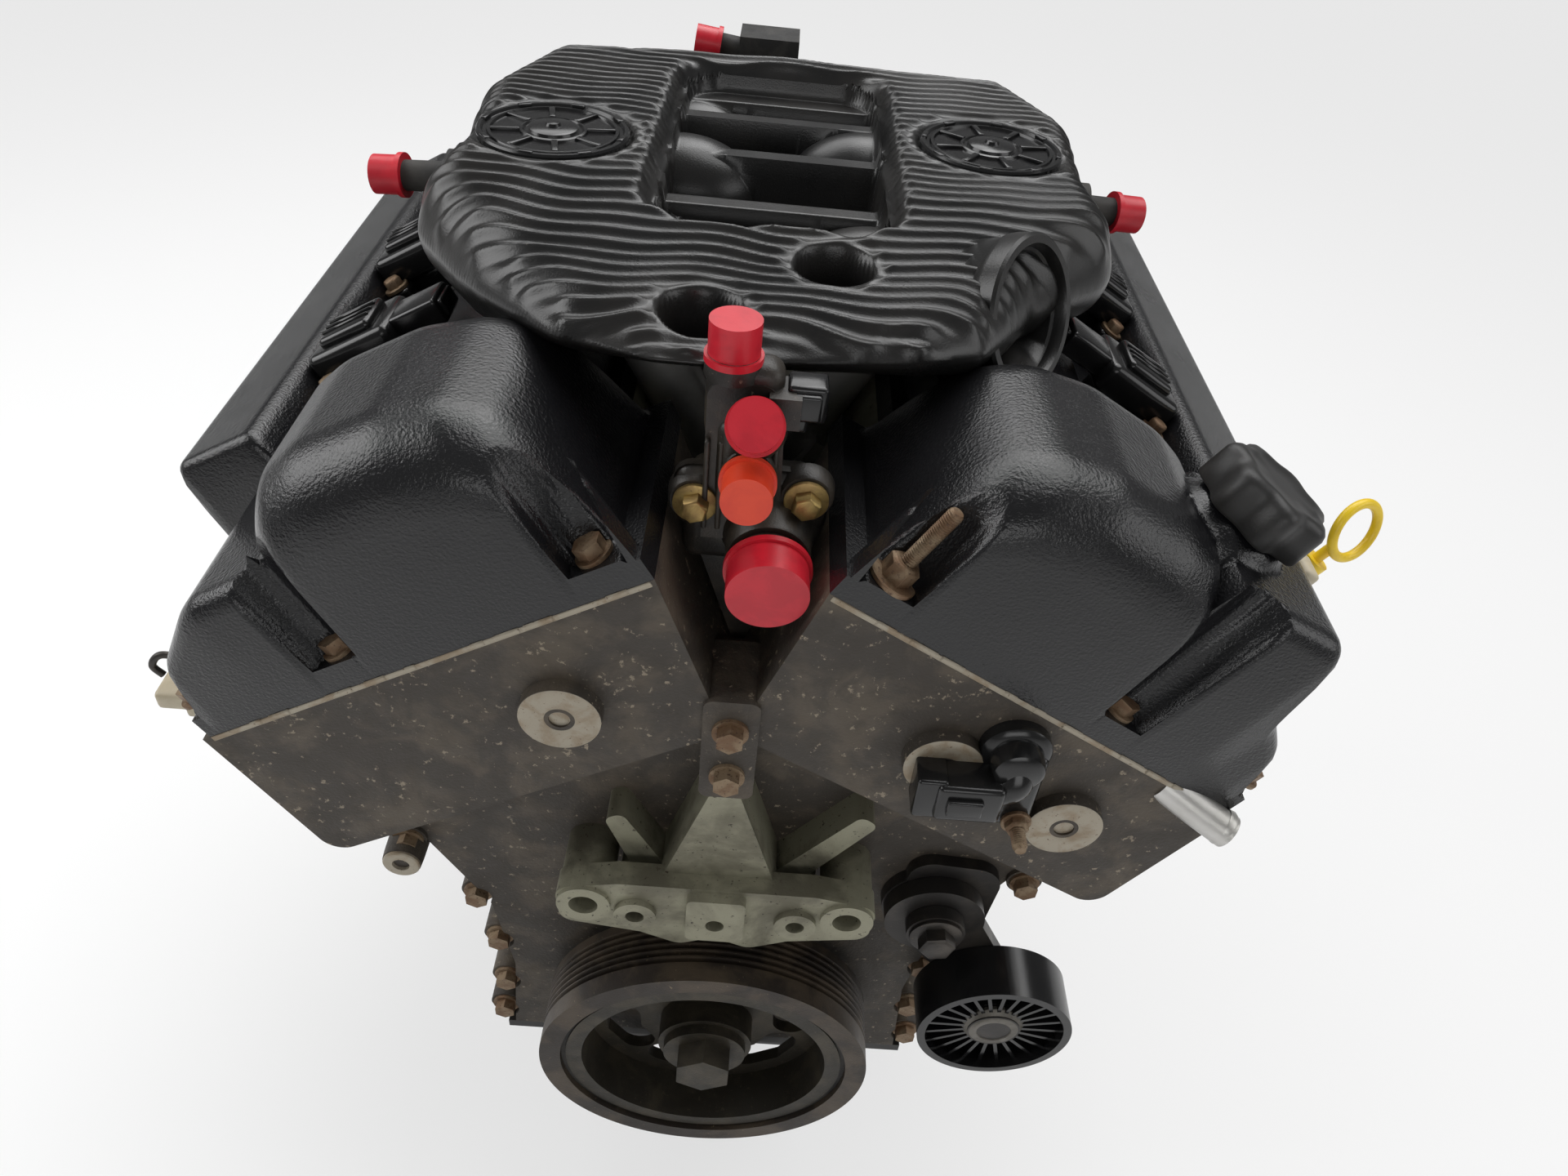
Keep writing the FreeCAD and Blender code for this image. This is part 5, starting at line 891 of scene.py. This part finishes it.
makeTensionerTrim(tensioner)
print("small pieces ready")


# Valve covers: thin shells with an eased dome, a front box, a ledge, a low spine and screw pockets
covers = {
    "rail": 282.0, "flange": 292.0, "front": 440.0, "domeRear": 338.0, "stepStation": 362.0,
    "headFront": 345.0, "rears": {1: 16.0, -1: 40.0}, "cell": 1.6,
    "innerFront": -128.0, "inner": -100.0, "outer": 77.0, "outerFront": 73.0,
    "dome": [(-118, 292), (-117, 304), (-109, 336), (-101, 350), (-88, 360), (-64, 366.5),
             (-30, 367), (-13, 363), (-2, 352), (5, 338), (8, 300)],
    "boxHigh": [(-9, 364), (-4, 364.5), (36, 368), (42, 366), (47, 340), (50, 329), (66, 317),
                (67.5, 300)],
    "boxLow": [(-9, 338), (-4, 338.5), (34, 337.5), (42, 334), (66, 317), (67.5, 300)],
    "ledge": [(17, 322), (22, 354), (26, 358), (62, 358), (66, 354), (67.5, 300)],
    "channel": [(-16, 322), (17, 322)],
    "spine": [(-92, 300), (-90, 322), (-84, 333), (-74, 340), (-26, 340), (-19, 332), (-14, 322)],
    "domeEase": (30.0, 22.0), "boxEase": 9.0, "ledgeEase": 6.0,
    "pockets": [(-111, 437), (1, 441)], "pocketRadius": 11.0, "pocketFloor": 294.0,
    "lipStart": 428, "lipHeight": 350, "lipFall": (1.5, 1.6),
    "screwRoom": 7.7, "boss": 8.4, "filler": (0, 392, 20.0, 371.0), "skin": 2.6,
}


def eased(top, distance, radius):
    # height near an end face: a quarter round of the given radius, then flat
    reach = np.clip(distance / radius, 0, 1)
    return top - radius * (1 - np.sqrt(1 - (1 - reach) ** 2))


def acrossProfile(points, w, blur):
    ws, heights = zip(*points)
    fine = np.arange(ws[0] - 30, ws[-1] + 30, 0.5)
    level = np.interp(fine, ws, heights)
    kernel = np.hanning(int(blur / 0.5) * 2 + 3)
    soft = np.convolve(np.pad(level, len(kernel) // 2, mode="edge"), kernel / kernel.sum(),
                       mode="valid")
    return np.interp(w, fine, soft[:len(fine)])


def coverTop(shape, side, w, station):
    rear = shape["rears"][side]
    flange = shape["flange"]
    height = np.full(w.shape, flange)

    def add(points, start, end, easeFront, easeRear, blur):
        nonlocal height
        inside = (w > points[0][0]) & (w < points[-1][0]) & (station >= start) & (station <= end)
        level = acrossProfile(points, w, blur)
        level = eased(level, end - station, easeFront)
        level = eased(level, station - start, easeRear)
        height = np.where(inside, np.maximum(height, np.maximum(level, flange)), height)

    add(shape["channel"], rear, shape["stepStation"], 2, 4, 3)
    add(shape["spine"], rear, shape["domeRear"], 2, 8, 4)
    add(shape["ledge"], rear, shape["stepStation"], shape["ledgeEase"], 8, 4)
    box = shape["boxHigh"] if side > 0 else shape["boxLow"]
    add(box, shape["stepStation"] - 4, shape["front"], shape["boxEase"], 5, 4)
    add(shape["dome"], shape["domeRear"], shape["front"], *shape["domeEase"], 7)
    for cw, cs in shape["pockets"]:
        away = np.hypot(w - cw, station - cs)
        wall = smooth(away, shape["pocketRadius"] - 0.4, shape["pocketRadius"] + 1.6)
        height = np.where(away < shape["pocketRadius"] + 1.6,
                          shape["pocketFloor"] + (height - shape["pocketFloor"]) * wall, height)
        ahead = station - shape["lipStart"]
        lip = ((away > shape["pocketRadius"] + 1.6) & (away < shape["pocketRadius"] + 4.2)
               & (ahead > 0))
        fall = shape["lipFall"][0] * ahead + shape["lipFall"][1] * np.abs(w - cw)
        height = np.where(lip, np.maximum(height, shape["lipHeight"] - fall), height)
    for cw, cs in coverScrews(shape, side):
        away = np.hypot(w - cw, station - cs)
        height = np.where(away < shape["boss"], np.maximum(height, shape["pocketFloor"]), height)
        height = np.where(away < shape["screwRoom"], shape["pocketFloor"], height)
    if side > 0:
        cw, cs, radius, level = shape["filler"]
        away = np.hypot(w - cw, station - cs)
        neck = level - 6 * smooth(away, radius - 1, radius + 5)
        height = np.where(away < radius + 5, np.maximum(height, neck), height)
    return height


def coverScrews(shape, side):
    rear = shape["rears"][side] - 2
    spots = [(73.5, rear + step) for step in (14, 106, 206, 300)]
    spots += [(-98, rear + step) for step in (14, 106, 206)]
    return spots + [(73.5, 428)]


def coverShell(shape, side):
    cell = shape["cell"]
    ws = np.arange(shape["innerFront"], shape["outer"] + cell, cell)
    stations = np.arange(shape["rears"][side], shape["front"] + 0.01, cell)
    stations[-1] = shape["front"]
    w, station = np.meshgrid(ws, stations)
    front = station > shape["headFront"] - 8
    low = np.where(front, shape["innerFront"], shape["inner"])
    high = np.where(front, shape["outerFront"], shape["outer"])
    w = np.clip(w, low, high)
    top = coverTop(shape, side, w, station)
    inner = top.copy()
    for down in range(-2, 3):
        for along in range(-2, 3):
            inner = np.minimum(inner, np.roll(np.roll(top, down, axis=0), along, axis=1))
    rim = np.minimum(np.minimum(w - low, high - w),
                     np.minimum(station - stations[0], shape["front"] - station))
    inner = np.where(rim < 8, shape["rail"] + 0.1,
                     np.maximum(inner - shape["skin"], shape["rail"] + 0.1))
    rows, columns = w.shape
    number = np.arange(rows * columns).reshape(rows, columns)
    keep = (np.abs(w[:-1, 1:] - w[:-1, :-1]) + np.abs(w[1:, 1:] - w[1:, :-1])) > 0.05
    row, column = np.nonzero(keep)
    a, b = number[row, column], number[row, column + 1]
    c, d = number[row + 1, column + 1], number[row + 1, column]
    total = rows * columns
    faces = [np.stack([a, d, c, b], 1), np.stack([a, b, c, d], 1) + total]
    spots = np.concatenate([np.stack([w, station, top], 2).reshape(-1, 3),
                            np.stack([w, station, inner], 2).reshape(-1, 3)])
    faces = np.concatenate(faces)
    edges = {}
    for loop in faces[:len(row)]:
        for first, second in zip(loop, np.roll(loop, -1)):
            if (second, first) in edges:
                del edges[(second, first)]
            else:
                edges[(first, second)] = True
    skirt = np.array([(second, first, first + total, second + total) for first, second in edges])
    faces = np.concatenate([faces, skirt])
    kept, fresh = np.unique(faces, return_inverse=True)
    spots = spots[kept]
    outboard, forward, up = spots[:, 0], spots[:, 1], spots[:, 2]
    world = np.stack([side * (up * leanSine + outboard * leanCosine), -forward,
                      up * leanCosine - outboard * leanSine], 1) * mm
    loops = fresh.reshape(-1, 4)
    return world, loops if side > 0 else loops[:, ::-1]


for coverName, coverSide in (("right", 1), ("left", -1)):
    cover = makeMesh(coverName + "_cover_shell", *coverShell(covers, coverSide), "crackle",
                     "engine", "cover_black", 60)
    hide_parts(coverName + "_valve_cover")
print("valve covers ready")


# Oil filler cap: seven soft lobes and a shallow dish in the top
fillerCap = {
    "spot": (0, 392, 371.4), "radius": 23.0, "lobes": 7, "wave": 2.0,
    "plug": [(-11, 14.6), (0.5, 14.6)],
    # height, share of the radius and share of the lobes' wave
    "rings": [(0, 0.96, 1.0), (1.2, 1.0, 1.0), (14, 0.99, 1.0), (16.2, 0.95, 1.0),
              (17.6, 0.88, 0.9), (18.2, 0.80, 0.7), (18.2, 0.70, 0.5), (17.6, 0.64, 0.4),
              (17.6, 0.30, 0.0)],
}


def makeFillerCap(shape):
    outboard, station, up = shape["spot"]
    base = bankSpot(1, outboard, station, up)
    turn = bankTurn(1)
    across, along, axis = turn.col[0], turn.col[1], turn.col[2]
    rings = shape["rings"]
    sides = 96
    points = []
    for height, share, swell in rings:
        for side in range(sides):
            angle = 2 * math.pi * side / sides
            lobe = shape["wave"] * swell * math.cos(shape["lobes"] * angle)
            radius = shape["radius"] * share + lobe
            points.append((base + axis * height
                           + (across * math.cos(angle) + along * math.sin(angle)) * radius) * mm)
    faces = ringFaces(len(rings), sides)
    plug = turned(shape["plug"], base, axis, 48)
    piece = makeMesh("filler_cap_knob", *joined([(points, faces), plug]), "paintBlack",
                     "oil_filler", "plug_black")
    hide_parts("oil_filler_cap")


makeFillerCap(fillerCap)

# Worn machined edge where each cover meets the timing case, with a painted highlight along the
# seam, and beads of old sealant
seams = {"edge": (-126, 73), "front": 440.35}


def makeSeams(shape):
    parts = []
    low, high = shape["edge"]
    for side in (1, -1):
        parts.append(roundedBlock((low, -shape["front"], 279.4), (high, -436, 281.8), 0.3,
                                  bankTurn(side), segments=1))
        for index in range(9):
            along = low + 14 + index * 20 + 6 * math.sin(index * 2.1 + side)
            parts.append(roundedBlock((along, -shape["front"] - 0.5, 279.8),
                                      (along + 9 + 4 * math.sin(index * 1.3), -437, 282.2), 0.5,
                                      bankTurn(side), segments=1))
    # pale tan strip and beads: worn metal plus a painted highlight along the seam edge
    makeMesh("worn_seam_and_highlight", *joined(parts), "machinedTan", "engine", "grimy_alloy")


makeSeams(seams)
